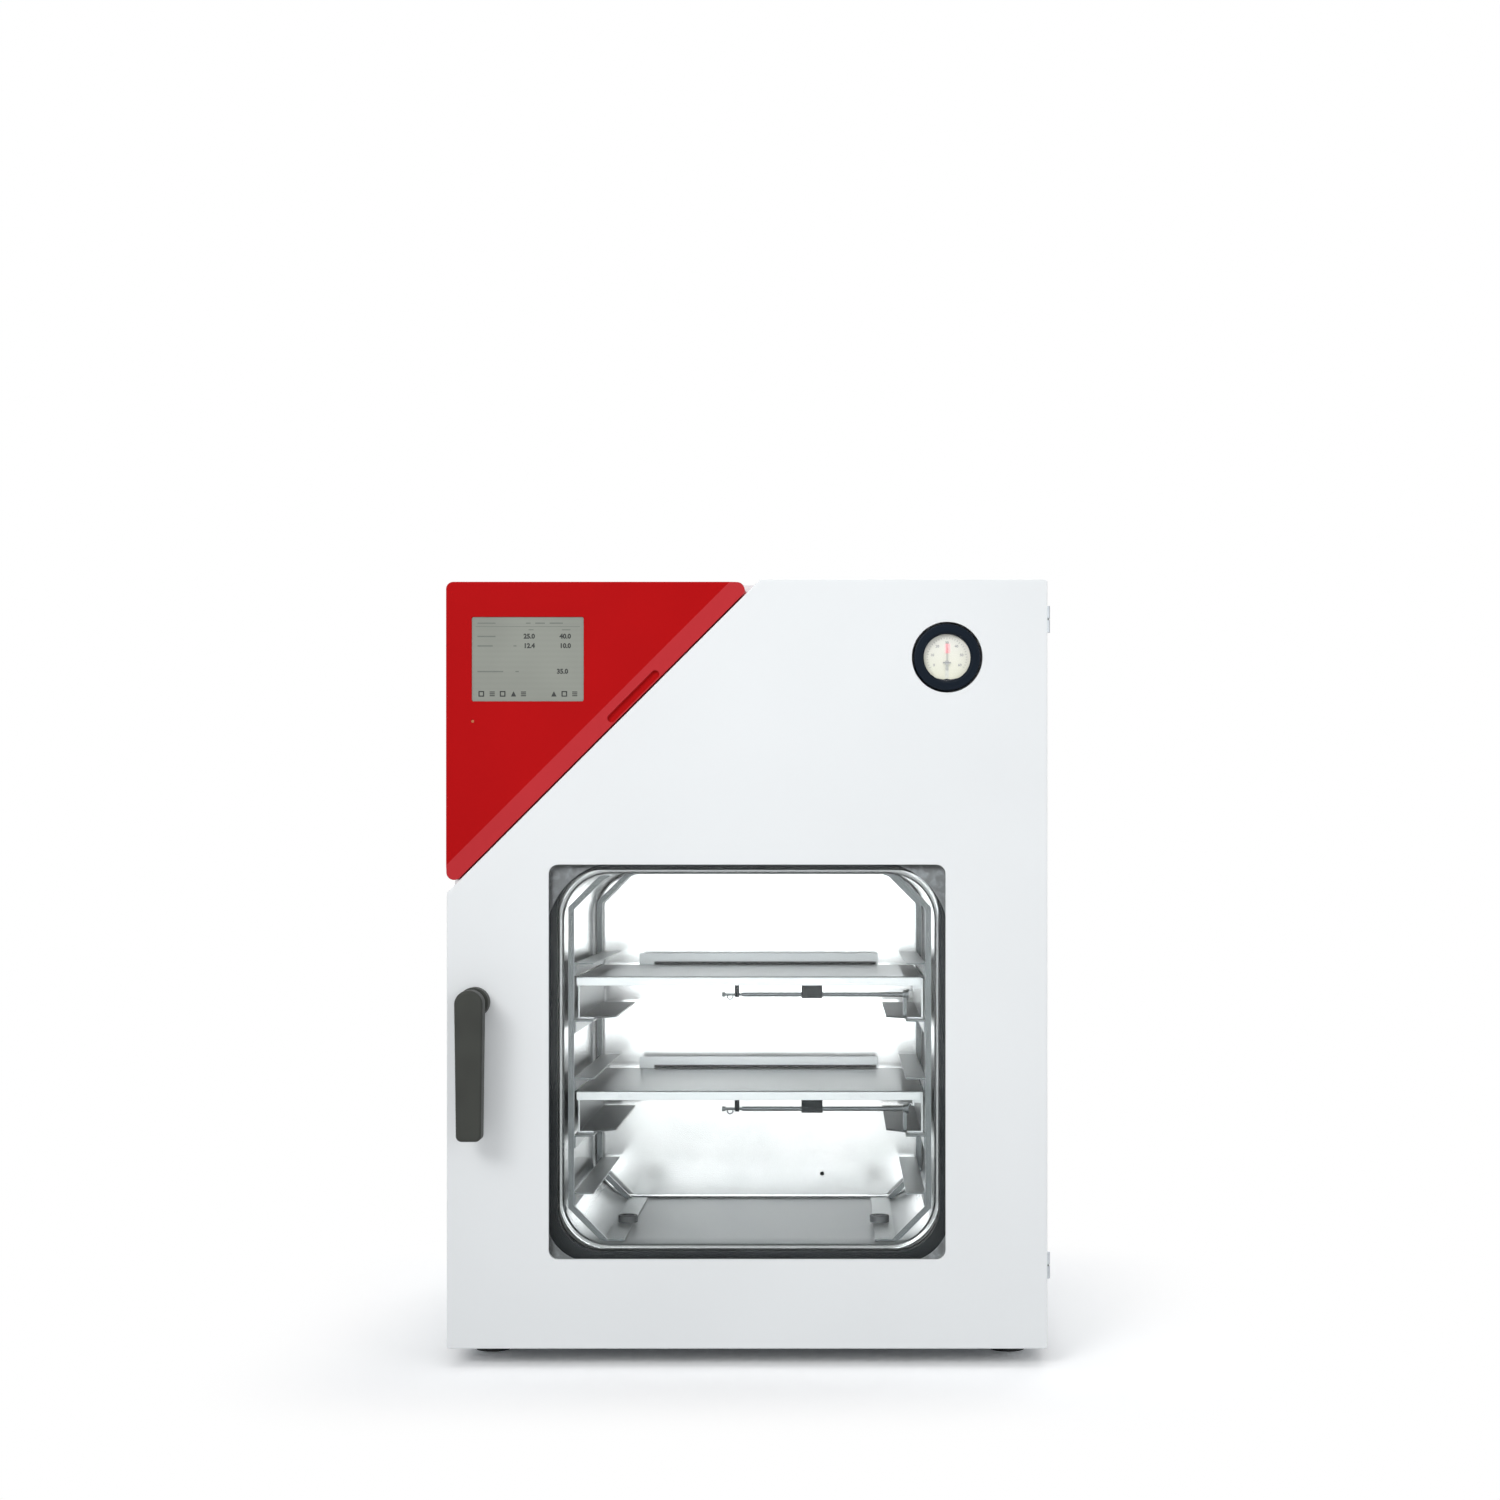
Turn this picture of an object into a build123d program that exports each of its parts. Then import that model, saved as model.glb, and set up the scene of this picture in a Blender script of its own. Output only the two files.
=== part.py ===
"""Vacuum drying oven with a glazed door, a fixed control cover, two shelves and their clamps.

Millimetres, X to the right, Y to the rear, Z up. The origin is at the bottom centre of the whole part.
"""
from build123d import *
import math
import os

# Housing
WIDTH = 634.0
BODY_HEIGHT = 812.0
HOUSING_DEPTH = 495.0
SHEET = 1.5
FRAME_SHEET = 2.0
CORNER_RADIUS = 3.0
RETURN_FLANGE = 18.0
SHEET_GAP = 0.3
PAN_UPSTAND = 25.0
SEAM = 0.3

# Depths in front of and behind the housing
DOOR_THICKNESS = 52.0
DOOR_GAP = 3.0
HANDLE_REACH = 48.0
PORT_REACH = 26.0

# Feet
FOOT_HEIGHT = 19.0
FOOT_RADIUS = 19.0
FOOT_TOP_RADIUS = 17.5
FOOT_SIDE_INSET = 36.0
FOOT_FRONT_INSET = 39.0
FOOT_REAR_INSET = 41.0
FOOT_BORE_RADIUS = 3.3
FOOT_COUNTERBORE_RADIUS = 6.5
FOOT_COUNTERBORE_DEPTH = 8.0
FOOT_SCREW_RADIUS = 3.0
FOOT_SCREW_HEAD_RADIUS = 5.5
FOOT_SCREW_HEAD = 3.5
FOOT_SCREW_LENGTH = 22.0

# Chamber
CHAMBER = 400.0
CHAMBER_DEPTH = 343.0
CHAMBER_CENTRE_Z = 320.0
CHAMBER_RADIUS = 50.0
CHAMBER_WALL = 5.0
CHAMBER_REAR_FILLET = 4.0
FLANGE_WIDTH = 35.0
FLANGE_THICKNESS = 6.0
FLANGE_LIP_RADIUS = 5.0
FLANGE_CORNER = 80.0
FRAME_OPENING_MARGIN = 42.0
FRAME_OPENING_RADIUS = 64.0
GASKET_INNER_MARGIN = 8.0
GASKET_OUTER_MARGIN = 38.0
GASKET_RADIUS = 61.0
GASKET_HEIGHT = 5.2
NUT_ACROSS = 10.0
NUT_HEIGHT = 5.0
NUT_OFFSET = 12.0
NUT_SPREAD = 120.0
STUD_RADIUS = 3.0
STUD_LENGTH = 12.0
SADDLE_WIDTH = 260.0
SADDLE_THICKNESS = 3.0
SADDLE_FOOT = 30.0
SADDLE_INSET = 34.0
SUCTION_X = 76.5
SUCTION_Z = 150.0
SUCTION_HOLE_RADIUS = 2.6

# Heater mats, sensor and insulation
MAT_REAR_GAP = 53.0
MAT_WIDTH = 260.0
MAT_THICKNESS = 2.0
SENSOR_RADIUS = 3.0
SENSOR_LENGTH = 60.0
SENSOR_BLOCK = 14.0
INSULATION_SIDE_GAP = 17.0
INSULATION_TOP_GAP = 3.0
INSULATION_REAR = 60.0
INSULATION_CLEARANCE = 0.5

# Electronics compartment
FLOOR_ABOVE_CHAMBER = 83.0
FLOOR_FLANGE = 15.0
BOARD_LENGTH = 170.0
BOARD_DEPTH = 120.0
BOARD_THICKNESS = 1.6
STANDOFF_HEIGHT = 8.0
STANDOFF_RADIUS = 3.5
STANDOFF_INSET = 8.0
TRANSFORMER_FROM_END = 20.0
TRANSFORMER_LENGTH = 45.0
TRANSFORMER_DEPTH = 40.0
TRANSFORMER_HEIGHT = 34.0
RELAYS = 4
RELAY_START = -5.0
RELAY_PITCH = 20.0
RELAY_WIDTH = 14.0
RELAY_DEPTH = 20.0
RELAY_HEIGHT = 16.0
RELAY_FROM_EDGE = 5.0
CHIP_FROM_CENTRE = 20.0
CHIP_SIZE = 30.0
CHIP_HEIGHT = 4.0
SUPPLY_SIZE = (100.0, 150.0, 52.0)
SUPPLY_FROM_SIDE = 92.0
SUPPLY_FROM_REAR = 136.0
BOARD_X = -40.0
BOARD_FROM_REAR = 266.0

# Vacuum plumbing
MANIFOLD_LEFT_OF_SUCTION = 16.5
MANIFOLD_RIGHT_OF_GAUGE = 16.8
MANIFOLD_DEPTH = 40.0
MANIFOLD_HEIGHT = 64.0
MANIFOLD_FROM_TOP = 61.0
MANIFOLD_REAR_GAP = 44.0
PORT_ABOVE_BOTTOM = 22.0
VACUUM_PORT_FROM_RIGHT = 118.0
GAS_PORT_FROM_RIGHT = 58.0
VALVE_SIZE = 32.0
VALVE_HEIGHT = 42.0
PIPE_RADIUS = 5.0
PIPE_BORE_RADIUS = 3.5
PIPE_BEND = 30.0
PORT_FLANGE_RADIUS = 15.0
PORT_FLANGE_THICKNESS = 4.0
PORT_TUBE_RADIUS = 10.0
PORT_BORE_RADIUS = 8.0
PORT_BORE_DEPTH = 30.0
PORT_COLLAR_RADIUS = 16.0
PORT_COLLAR_THICKNESS = 5.0
PORT_CLEARANCE = 0.3
GAS_BARB_RADIUS = 5.0
GAS_BARB_LENGTH = 20.0
GAS_BORE_RADIUS = 3.0

# Mains inlet and power switch, on the rear panel
INLET_FROM_SIDE = 92.0
INLET_ABOVE_FLOOR = 52.0
INLET_FLANGE = (50.0, 23.0)
INLET_BODY = (28.0, 20.5)
INLET_RECESS = (24.5, 16.5)
INLET_DEPTH = 26.0
INLET_RECESS_DEPTH = 18.0
INLET_RIM = 2.0
PIN_LENGTH = 14.0
SWITCH_FROM_INLET = 60.0
SWITCH_FRAME = (32.0, 26.0)
SWITCH_BODY = (27.5, 21.0)
SWITCH_POCKET = (24.0, 17.5)
SWITCH_DEPTH = 24.0
ROCKER_CLEARANCE = 0.6
ROCKER_RADIUS = 11.0
ROCKER_TILT = 8.0
ROCKER_PIN_RADIUS = 1.2
ROCKER_PIN_LENGTH = 1.2
ROCKER_PIN_CLEARANCE = 0.06

# Rear panel screws and vents
REAR_SCREW_RADIUS = 2.0
REAR_SCREW_HEAD_RADIUS = 3.8
REAR_SCREW_HEAD = 2.0
REAR_SCREW_LENGTH = 8.0
VENT_COUNT = 9
VENT_PITCH = 14.0
VENT_LENGTH = 90.0
VENT_WIDTH = 4.0
VENT_FROM_SIDE = 127.0
VENT_FROM_TOP = 191.0

# Control cover
COVER_LEG = 325.0
COVER_TOP_DROP = 3.0
COVER_PROUD = 4.0
COVER_WALL = 3.0
COVER_TIP_RADIUS = 7.6
COVER_BEVEL_WIDTH = 18.6
COVER_BEVEL_DROP = 6.0
DOOR_CUT_GAP = 2.0
GRIP_LENGTH = 74.0
GRIP_WIDTH = 8.5
GRIP_DEPTH = 2.5
GRIP_EDGE = 1.2
GRIP_FROM_TIP = 247.0
SCREEN_LEFT = 27.0
SCREEN_DROP = 37.0
SCREEN_WIDTH = 118.0
SCREEN_HEIGHT = 89.0
SCREEN_THICKNESS = 3.0
SCREEN_LAP = 4.0
SCREEN_RECESS = 0.8
SCREEN_GAP = 0.15
DISPLAY_BOARD_THICKNESS = 1.6
DISPLAY_BOARD_SPACE = 5.0
LED_LEFT = 28.0
LED_DROP = 147.0
LED_RADIUS = 1.5
BOSS_RADIUS = 4.0
BOSS_FROM_TIP = 75.0
BOSS_CORNER_STEP = 8.0

# Gauge
GAUGE_FROM_SIDE = 105.8
GAUGE_FROM_TOP = 82.1
GAUGE_BEZEL_RADIUS = 35.2
GAUGE_CASE_RADIUS = 33.0
GAUGE_WINDOW_RADIUS = 24.8
GAUGE_PROUD = 1.0
GAUGE_BEZEL_THICKNESS = 7.0
GAUGE_WALL = 2.0
GAUGE_DIAL_DEPTH = 8.0
GAUGE_DIAL_THICKNESS = 1.0
GAUGE_LENS_DEPTH = 2.0
GAUGE_LENS_THICKNESS = 1.5
GAUGE_STEM_RADIUS = 7.0
GAUGE_STEM_LENGTH = 16.0
POINTER_DROP = 5.4
POINTER_LENGTH = 21.0
POINTER_TAIL = 8.0
POINTER_WIDTH = 1.2
POINTER_THICKNESS = 0.6
POINTER_HUB_RADIUS = 2.6
POINTER_STAFF_RADIUS = 0.6
POINTER_STAFF_CLEARANCE = 0.06
PORT_HOLE_GAP = 2.2
PORT_FUNNEL = 17.0

# Door
WINDOW_WIDTH = 419.0
WINDOW_TOP = 530.0
WINDOW_BOTTOM = 113.3
WINDOW_RADIUS = 10.0
DOOR_LAP = 14.0
OUTER_PANE_GAP = 4.0
OUTER_PANE_THICKNESS = 4.0
GLAZING_WIDTH = 10.0
GLAZING_UPPER_RADIUS = 81.0
GLAZING_LOWER_RADIUS = 47.5
PANE_MARGIN = 30.0
PANE_RADIUS = 55.0
PANE_THICKNESS = 12.0
PANE_PROUD = 0.5
CARRIER_OPENING_MARGIN = 9.0
CARRIER_OPENING_RADIUS = 48.0
CARRIER_MARGIN = 44.0
CARRIER_RADIUS = 62.0
CARRIER_FRONT = 7.5
CARRIER_SETBACK = 1.5
PANEL_OPENING_GAP = 2.0
EAR_SIZE = 26.0
EAR_THICKNESS = 4.0
EAR_FROM_WINDOW = 10.5
EAR_FROM_CARRIER = 12.0
EAR_SPREAD = 150.0
RAIL_WIDTH = 26.0
RAIL_DEPTH = 17.5
RAIL_END_MARGIN = 20.0
BOLT_RADIUS = 3.0
BOLT_HOLE_RADIUS = 3.3
BOLT_HEAD_RADIUS = 5.5
BOLT_HEAD = 4.0
BOLT_ENGAGEMENT = 10.0
SPRING_RADIUS = 5.5
SPRING_WIRE = 1.2
SPRING_TURNS = 4
SEAT_SLACK = 0.1

# Hinges
HINGE_AXIS_OUTSIDE = 4.0
HINGE_AXIS_INTO_GAP = 1.5
BARREL_RADIUS = 3.5
BARREL_HEIGHT = 13.3
BARREL_GAP = 2.0
HINGE_PIN_RADIUS = 1.75
HINGE_PIN_CLEARANCE = 0.06
HINGE_LEAF = 2.0
HINGE_LEAF_WIDTH = 36.0
UPPER_HINGE_FROM_TOP = 36.9
LOWER_HINGE_ABOVE_BASE = 79.3

# Handle and latch
HANDLE_FROM_SIDE = 30.0
HANDLE_ABOVE_CENTRE = 65.0
BOSS_OUTER_RADIUS = 16.0
HANDLE_BOSS_LENGTH = 14.0
BOSS_BORE_CLEARANCE = 0.05
SPINDLE_RADIUS = 6.0
LEVER_TOP_RADIUS = 14.8
LEVER_BOTTOM_WIDTH = 26.0
LEVER_LENGTH = 157.0
LEVER_THICKNESS = 20.0
LEVER_BOTTOM_RADIUS = 6.0
LEVER_EDGE = 3.0
LEVER_NECK_RADIUS = 12.5
CAM_REACH = 24.0
CAM_THICKNESS = 5.0
CAM_WIDTH = 13.0
CAM_BEHIND_FRAME = 5.0
LATCH_HOLE_RADIUS = 27.0
LATCH_HOLE_LEFT = 21.0
KEEPER_DEPTH = 22.0
KEEPER_WALL = 2.0
KEEPER_MARGIN = 3.0

# Racks
RACK_SIDE_GAP = 2.7
RACK_POST_WIDTH = 6.3
RACK_BAR_DEPTH = 4.0
RACK_CHAMFER = 33.6
RACK_FRONT_BACKSET = 78.0
RACK_REAR_GAP = 16.0
RACK_FOOT_REACH = 64.0
RACK_FOOT_LIFT = 0.8
RACK_FOOT_SHEET = 2.0
RAIL_LEVELS = 5
RAIL_FIRST_Z = 172.75
RAIL_PITCH = 62.5
RAIL_SHEET = 1.5
RAIL_WEB_HEIGHT = 14.0
RAIL_REACH = 30.0
KNOB_FROM_SIDE = 57.0
KNOB_BACKSET = 197.0
KNOB_RADIUS = 11.0
KNOB_HEIGHT = 8.0
KNOB_STUD_RADIUS = 2.5
KNOB_RECESS_RADIUS = 7.5
KNOB_RECESS = 3.0

# Shelves
SHELF_SIDE_GAP = 10.8
SHELF_HEIGHT = 47.0
SHELF_REAR_GAP = 35.0
SHELF_BACKSET = 85.0
SHELF_SHEET = 2.0
SHELF_BOTTOM_FLANGE = 40.0
SHELF_LIP = 9.8
SHELF_UPSTAND = 14.0
RIVET_RADIUS = 1.6
RIVET_PROUD = 0.6
RIVET_DROP = 5.2
RIVET_PLACES = (-142.0, -130.0, 110.0, 122.0)
SHELF_UPSTAND_INSET = 45.2
SHELF_REST_GAP = 0.3
SHELF_LEVELS = (1, 3)
SHOE_BACKSET = 15.0
SHOE_FRONT_CUT = 24.0
SHOE_GAP = 0.3
SHOE_TRAVEL = 3.0
CLAMP_ROD_RADIUS = 2.5
CLAMP_ROD_DROP = 20.0
CLAMP_ROD_BACKSET = 8.0
CLAMP_ROD_LEFT = -31.0
CLAMP_ROD_INSET = 16.2
CLAMP_BORE_CLEARANCE = 0.06
CLAMP_BLOCK_LEFT = 56.0
CLAMP_BLOCK_WIDTH = 23.0
CLAMP_BLOCK_DEPTH = 9.0
CLAMP_BLOCK_BELOW = 4.0
CLAMP_EYE_FROM_END = 14.0
CLAMP_EYE_WIDTH = 5.0
CLAMP_EYE_DEPTH = 6.0
CLAMP_EYE_BELOW = 2.8
CLAMP_LEVER_INSET = 4.0
CLAMP_LEVER_LENGTH = 25.0
CLAMP_LEVER_WIDTH = 7.0
CLAMP_LEVER_THICKNESS = 4.0
CLAMP_NECK_RADIUS = 1.5
CLAMP_NECK_LENGTH = 22.0
CLAMP_COLLAR_RADIUS = 2.8
CLAMP_COLLAR_WIDTH = 4.0
CLAMP_RING_FROM_END = 9.0
CLAMP_RING_RADIUS = 3.0
CLAMP_RING_WIRE = 0.75
CLAMP_RING_DROP = 2.4
CLAMP_CAM_RADIUS = 6.0
CLAMP_LOBE = 3.4
CLAMP_LOBE_WIDTH = 1.6
CLAMP_CAM_GAP = 1.3
CLAMP_EAR_SHEET = 2.0
CLAMP_EAR_HALF = 1.6
CLAMP_EAR_CLEARANCE = 1.0

# Places worked out from the sizes above
TOTAL_DEPTH = HANDLE_REACH + DOOR_THICKNESS + DOOR_GAP + HOUSING_DEPTH + PORT_REACH
DOOR_FRONT = HANDLE_REACH - TOTAL_DEPTH / 2
DOOR_REAR = DOOR_FRONT + DOOR_THICKNESS
FRAME_FRONT = DOOR_REAR + DOOR_GAP
FRAME_REAR = FRAME_FRONT + FRAME_SHEET
HOUSING_REAR = FRAME_FRONT + HOUSING_DEPTH
HALF_WIDTH = WIDTH / 2
BASE_Z = FOOT_HEIGHT
TOP_Z = FOOT_HEIGHT + BODY_HEIGHT
MIDDLE_Z = (BASE_Z + TOP_Z) / 2
FLANGE_REAR = FRAME_REAR + FLANGE_THICKNESS
CHAMBER_REAR = FRAME_REAR + CHAMBER_DEPTH
CHAMBER_OUTER = CHAMBER + 2 * CHAMBER_WALL
CHAMBER_BACK = CHAMBER_REAR + CHAMBER_WALL
FLOOR_OF_CHAMBER = CHAMBER_CENTRE_Z - CHAMBER / 2
FOOT_X = HALF_WIDTH - FOOT_SIDE_INSET
FOOT_YS = (FRAME_FRONT + FOOT_FRONT_INSET, HOUSING_REAR - FOOT_REAR_INSET)
PAN_FRONT = FRAME_REAR + SHEET + SHEET_GAP
PAN_REAR = HOUSING_REAR - 2 * SHEET - SHEET_GAP
PAN_HALF = HALF_WIDTH - SHEET - SHEET_GAP
MANIFOLD_REAR = HOUSING_REAR - MANIFOLD_REAR_GAP
MANIFOLD_FRONT = MANIFOLD_REAR - MANIFOLD_DEPTH
MANIFOLD_MIDDLE_Y = (MANIFOLD_FRONT + MANIFOLD_REAR) / 2
COVER_TOP = TOP_Z - COVER_TOP_DROP
COVER_LEFT = -HALF_WIDTH
COVER_FRONT = DOOR_FRONT - COVER_PROUD
WINDOW_CENTRE_Z = (WINDOW_TOP + WINDOW_BOTTOM) / 2
WINDOW_HEIGHT = WINDOW_TOP - WINDOW_BOTTOM
PANE_REAR = DOOR_REAR - PANE_PROUD
PANE_FRONT = PANE_REAR - PANE_THICKNESS
GAUGE_FRONT = DOOR_FRONT - GAUGE_PROUD
GAUGE_CASE_REAR = FRAME_FRONT
HINGE_AXIS_Y = DOOR_REAR + HINGE_AXIS_INTO_GAP
HANDLE_FRONT = DOOR_FRONT - HANDLE_REACH
SHELF_FRONT = DOOR_FRONT + SHELF_BACKSET
RACK_FRONT = DOOR_FRONT + RACK_FRONT_BACKSET
HALF_CHAMBER = CHAMBER / 2
FRAME_OPENING = CHAMBER + FRAME_OPENING_MARGIN
GASKET_INNER = CHAMBER + GASKET_INNER_MARGIN
GASKET_OUTER = CHAMBER + GASKET_OUTER_MARGIN
PANE = CHAMBER + PANE_MARGIN
CARRIER_OPENING = CHAMBER + CARRIER_OPENING_MARGIN
CARRIER_OUTER = CHAMBER + CARRIER_MARGIN
EAR_X = max(WINDOW_WIDTH / 2 + DOOR_LAP + EAR_FROM_WINDOW, CARRIER_OUTER / 2 + EAR_FROM_CARRIER)
FLOOR_Z = CHAMBER_CENTRE_Z + HALF_CHAMBER + FLOOR_ABOVE_CHAMBER
COMPARTMENT_FLOOR_TOP = FLOOR_Z + SHEET
INSULATION_SIDE = HALF_WIDTH - INSULATION_SIDE_GAP
INSULATION_TOP = FLOOR_Z - INSULATION_TOP_GAP
MAT_LENGTH = CHAMBER_DEPTH - MAT_REAR_GAP
SUPPLY_X = -HALF_WIDTH + SUPPLY_FROM_SIDE
SUPPLY_Y = HOUSING_REAR - SUPPLY_FROM_REAR
BOARD_Y = HOUSING_REAR - BOARD_FROM_REAR
GAUGE_X = HALF_WIDTH - GAUGE_FROM_SIDE
GAUGE_Z = TOP_Z - GAUGE_FROM_TOP
MANIFOLD_LEFT = SUCTION_X - MANIFOLD_LEFT_OF_SUCTION
MANIFOLD_RIGHT = GAUGE_X + MANIFOLD_RIGHT_OF_GAUGE
MANIFOLD_TOP = TOP_Z - MANIFOLD_FROM_TOP
MANIFOLD_BOTTOM = MANIFOLD_TOP - MANIFOLD_HEIGHT
PORT_Z = MANIFOLD_BOTTOM + PORT_ABOVE_BOTTOM
VACUUM_PORT_X = MANIFOLD_RIGHT - VACUUM_PORT_FROM_RIGHT
GAS_PORT_X = MANIFOLD_RIGHT - GAS_PORT_FROM_RIGHT
INLET_X = -HALF_WIDTH + INLET_FROM_SIDE
INLET_Z = FLOOR_Z + INLET_ABOVE_FLOOR
SWITCH_X = INLET_X + SWITCH_FROM_INLET
SWITCH_Z = INLET_Z
VENT_X = HALF_WIDTH - VENT_FROM_SIDE
VENT_Z = TOP_Z - VENT_FROM_TOP
HINGE_AXIS_X = HALF_WIDTH + HINGE_AXIS_OUTSIDE
UPPER_HINGE_Z = TOP_Z - UPPER_HINGE_FROM_TOP
LOWER_HINGE_Z = BASE_Z + LOWER_HINGE_ABOVE_BASE
HANDLE_X = -HALF_WIDTH + HANDLE_FROM_SIDE
HANDLE_Z = CHAMBER_CENTRE_Z + HANDLE_ABOVE_CENTRE
RACK_LENGTH = CHAMBER_REAR - RACK_FRONT - RACK_REAR_GAP
RACK_POST_OUTER = HALF_CHAMBER - RACK_SIDE_GAP
RACK_FOOT_INNER = HALF_CHAMBER - RACK_FOOT_REACH
RAIL_INNER = HALF_CHAMBER - RAIL_REACH
KNOB_X = HALF_CHAMBER - KNOB_FROM_SIDE
SHELF_HALF_WIDTH = HALF_CHAMBER - SHELF_SIDE_GAP
SHELF_DEPTH = CHAMBER_REAR - SHELF_FRONT - SHELF_REAR_GAP
CLAMP_ROD_RIGHT = SHELF_HALF_WIDTH - CLAMP_ROD_INSET
CLAMP_LEVER_X = CLAMP_ROD_RIGHT - CLAMP_LEVER_INSET


def block(x0, x1, y0, y1, z0, z1):
    """A box between two corners."""
    middle = ((x0 + x1) / 2, (y0 + y1) / 2, (z0 + z1) / 2)
    return Pos(*middle) * Box(abs(x1 - x0), abs(y1 - y0), abs(z1 - z0))


def along_y(face, y0, y1):
    """Extrude a face drawn in X and Z from y0 to y1."""
    return extrude(Plane.XZ.offset(-y1) * face, y1 - y0)


def along_x(face, x0, x1):
    """Extrude a face drawn in Y and Z from x0 to x1."""
    return extrude(Plane.YZ.offset(x0) * face, x1 - x0)


def along_z(face, z0, z1):
    """Extrude a face drawn in X and Y from z0 to z1."""
    return extrude(Plane.XY.offset(z0) * face, z1 - z0)


def rod_y(x, z, radius, y0, y1):
    return along_y(Pos(x, z) * Circle(radius), y0, y1)


def rod_x(y, z, radius, x0, x1):
    return along_x(Pos(y, z) * Circle(radius), x0, x1)


def rod_z(x, y, radius, z0, z1):
    return along_z(Pos(x, y) * Circle(radius), z0, z1)


def cone_y(x, z, radius0, radius1, y0, y1):
    """A frustum along Y: radius0 at y0 and radius1 at y1."""
    middle = (y0 + y1) / 2
    return Pos(x, middle, z) * Rot(90, 0, 0) * Cone(radius1, radius0, y1 - y0)


def rounded(width, height, radius, z=0.0, x=0.0):
    """A rounded rectangle in X and Z around (x, z)."""
    return Pos(x, z) * RectangleRounded(width, height, radius)


def polygon(points):
    return make_face(Polyline(*points, close=True))


def together(pieces):
    """Join pieces into one node; pieces apart from each other stay separate solids."""
    result = pieces[0]
    for piece in pieces[1:]:
        result = result + piece
    return result


def hex_y(x, z, across, y0, y1):
    return along_y(Pos(x, z) * RegularPolygon(across / 2, 6, major_radius=False), y0, y1)


# Housing

def jacket_profile(inset):
    """The housing's outline in X and Z, drawn in by an inset at the sides and the top."""
    radius = CORNER_RADIUS - inset if inset < CORNER_RADIUS - 1.0 else 1.0
    below = 2 * CORNER_RADIUS
    middle = (BASE_Z - below + TOP_Z - inset) / 2
    face = rounded(WIDTH - 2 * inset, BODY_HEIGHT - inset + below, radius, middle)
    return face & Pos(0, MIDDLE_Z) * Rectangle(WIDTH + 2, BODY_HEIGHT)


def outer_jacket():
    shell = along_y(jacket_profile(0) - jacket_profile(SHEET), FRAME_REAR, HOUSING_REAR)
    lip = jacket_profile(SHEET) - jacket_profile(SHEET + RETURN_FLANGE)
    front = along_y(lip, FRAME_REAR, FRAME_REAR + SHEET)
    rear = along_y(lip, HOUSING_REAR - 2 * SHEET, HOUSING_REAR - SHEET)
    holes = [rod_y(x, z, REAR_SCREW_RADIUS + SEAM, HOUSING_REAR - 3 * SHEET, HOUSING_REAR)
             for x, z in rear_screw_places()]
    return shell + front + rear - holes


def base_pan():
    outer = block(-PAN_HALF, PAN_HALF, PAN_FRONT, PAN_REAR, BASE_Z, BASE_Z + PAN_UPSTAND)
    inner = block(-PAN_HALF + SHEET, PAN_HALF - SHEET, PAN_FRONT + SHEET, PAN_REAR - SHEET,
                  BASE_Z + SHEET, BASE_Z + PAN_UPSTAND + 1)
    holes = [rod_z(x, y, FOOT_BORE_RADIUS, BASE_Z - 1, BASE_Z + SHEET + 1) for x, y in foot_places()]
    return outer - inner - holes


def foot_places():
    return [(side * FOOT_X, y) for side in (-1, 1) for y in FOOT_YS]


def rubber_feet():
    feet = []
    for x, y in foot_places():
        body = Pos(x, y, FOOT_HEIGHT / 2) * Cone(FOOT_RADIUS, FOOT_TOP_RADIUS, FOOT_HEIGHT)
        body = body - rod_z(x, y, FOOT_COUNTERBORE_RADIUS, -1, FOOT_COUNTERBORE_DEPTH)
        feet.append(body - rod_z(x, y, FOOT_BORE_RADIUS, -1, FOOT_HEIGHT + 1))
    return together(feet)


def foot_screw_set():
    screws = []
    for x, y in foot_places():
        seat = FOOT_COUNTERBORE_DEPTH
        head = rod_z(x, y, FOOT_SCREW_HEAD_RADIUS, seat - FOOT_SCREW_HEAD, seat)
        hexagon = Pos(x, y) * RegularPolygon(2.5, 6, major_radius=False)
        socket = along_z(hexagon, seat - FOOT_SCREW_HEAD - 1, seat - 1.5)
        shank = rod_z(x, y, FOOT_SCREW_RADIUS, seat, seat + FOOT_SCREW_LENGTH)
        screws.append(head + shank - socket)
    return screws


def latch_hole(grow=0.0):
    """The hole behind the latch, as a face in X and Z, kept inside the housing's left side."""
    round_part = Pos(HANDLE_X, HANDLE_Z) * Circle(LATCH_HOLE_RADIUS + grow)
    side = 4 * (LATCH_HOLE_RADIUS + grow)
    kept = Pos(HANDLE_X - LATCH_HOLE_LEFT - grow + side / 2, HANDLE_Z) * Rectangle(side, side)
    return round_part & kept


def front_frame():
    face = rounded(WIDTH, BODY_HEIGHT, CORNER_RADIUS, MIDDLE_Z)
    face = face - rounded(FRAME_OPENING, FRAME_OPENING, FRAME_OPENING_RADIUS, CHAMBER_CENTRE_Z)
    face = face - Pos(GAUGE_X, GAUGE_Z) * Circle(GAUGE_STEM_RADIUS + SEAM)
    face = face - latch_hole()
    face = face - [Pos(x, z) * Circle(STUD_RADIUS + SEAM) for x, z in flange_stud_places()]
    face = face - Pos(COVER_LEFT + SCREEN_LEFT + SCREEN_WIDTH / 2, COVER_TOP - LED_DROP) * Circle(15)
    return along_y(face, FRAME_FRONT, FRAME_REAR)


def rear_screw_places():
    inset = SHEET + RETURN_FLANGE / 2
    xs = (-HALF_WIDTH + inset, HALF_WIDTH - inset)
    zs = [BASE_Z + inset + 20 + step * (BODY_HEIGHT - 2 * inset - 20) / 3 for step in range(4)]
    top = [(x, TOP_Z - inset) for x in (-HALF_WIDTH / 3, HALF_WIDTH / 3)]
    return [(x, z) for x in xs for z in zs] + top


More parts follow.
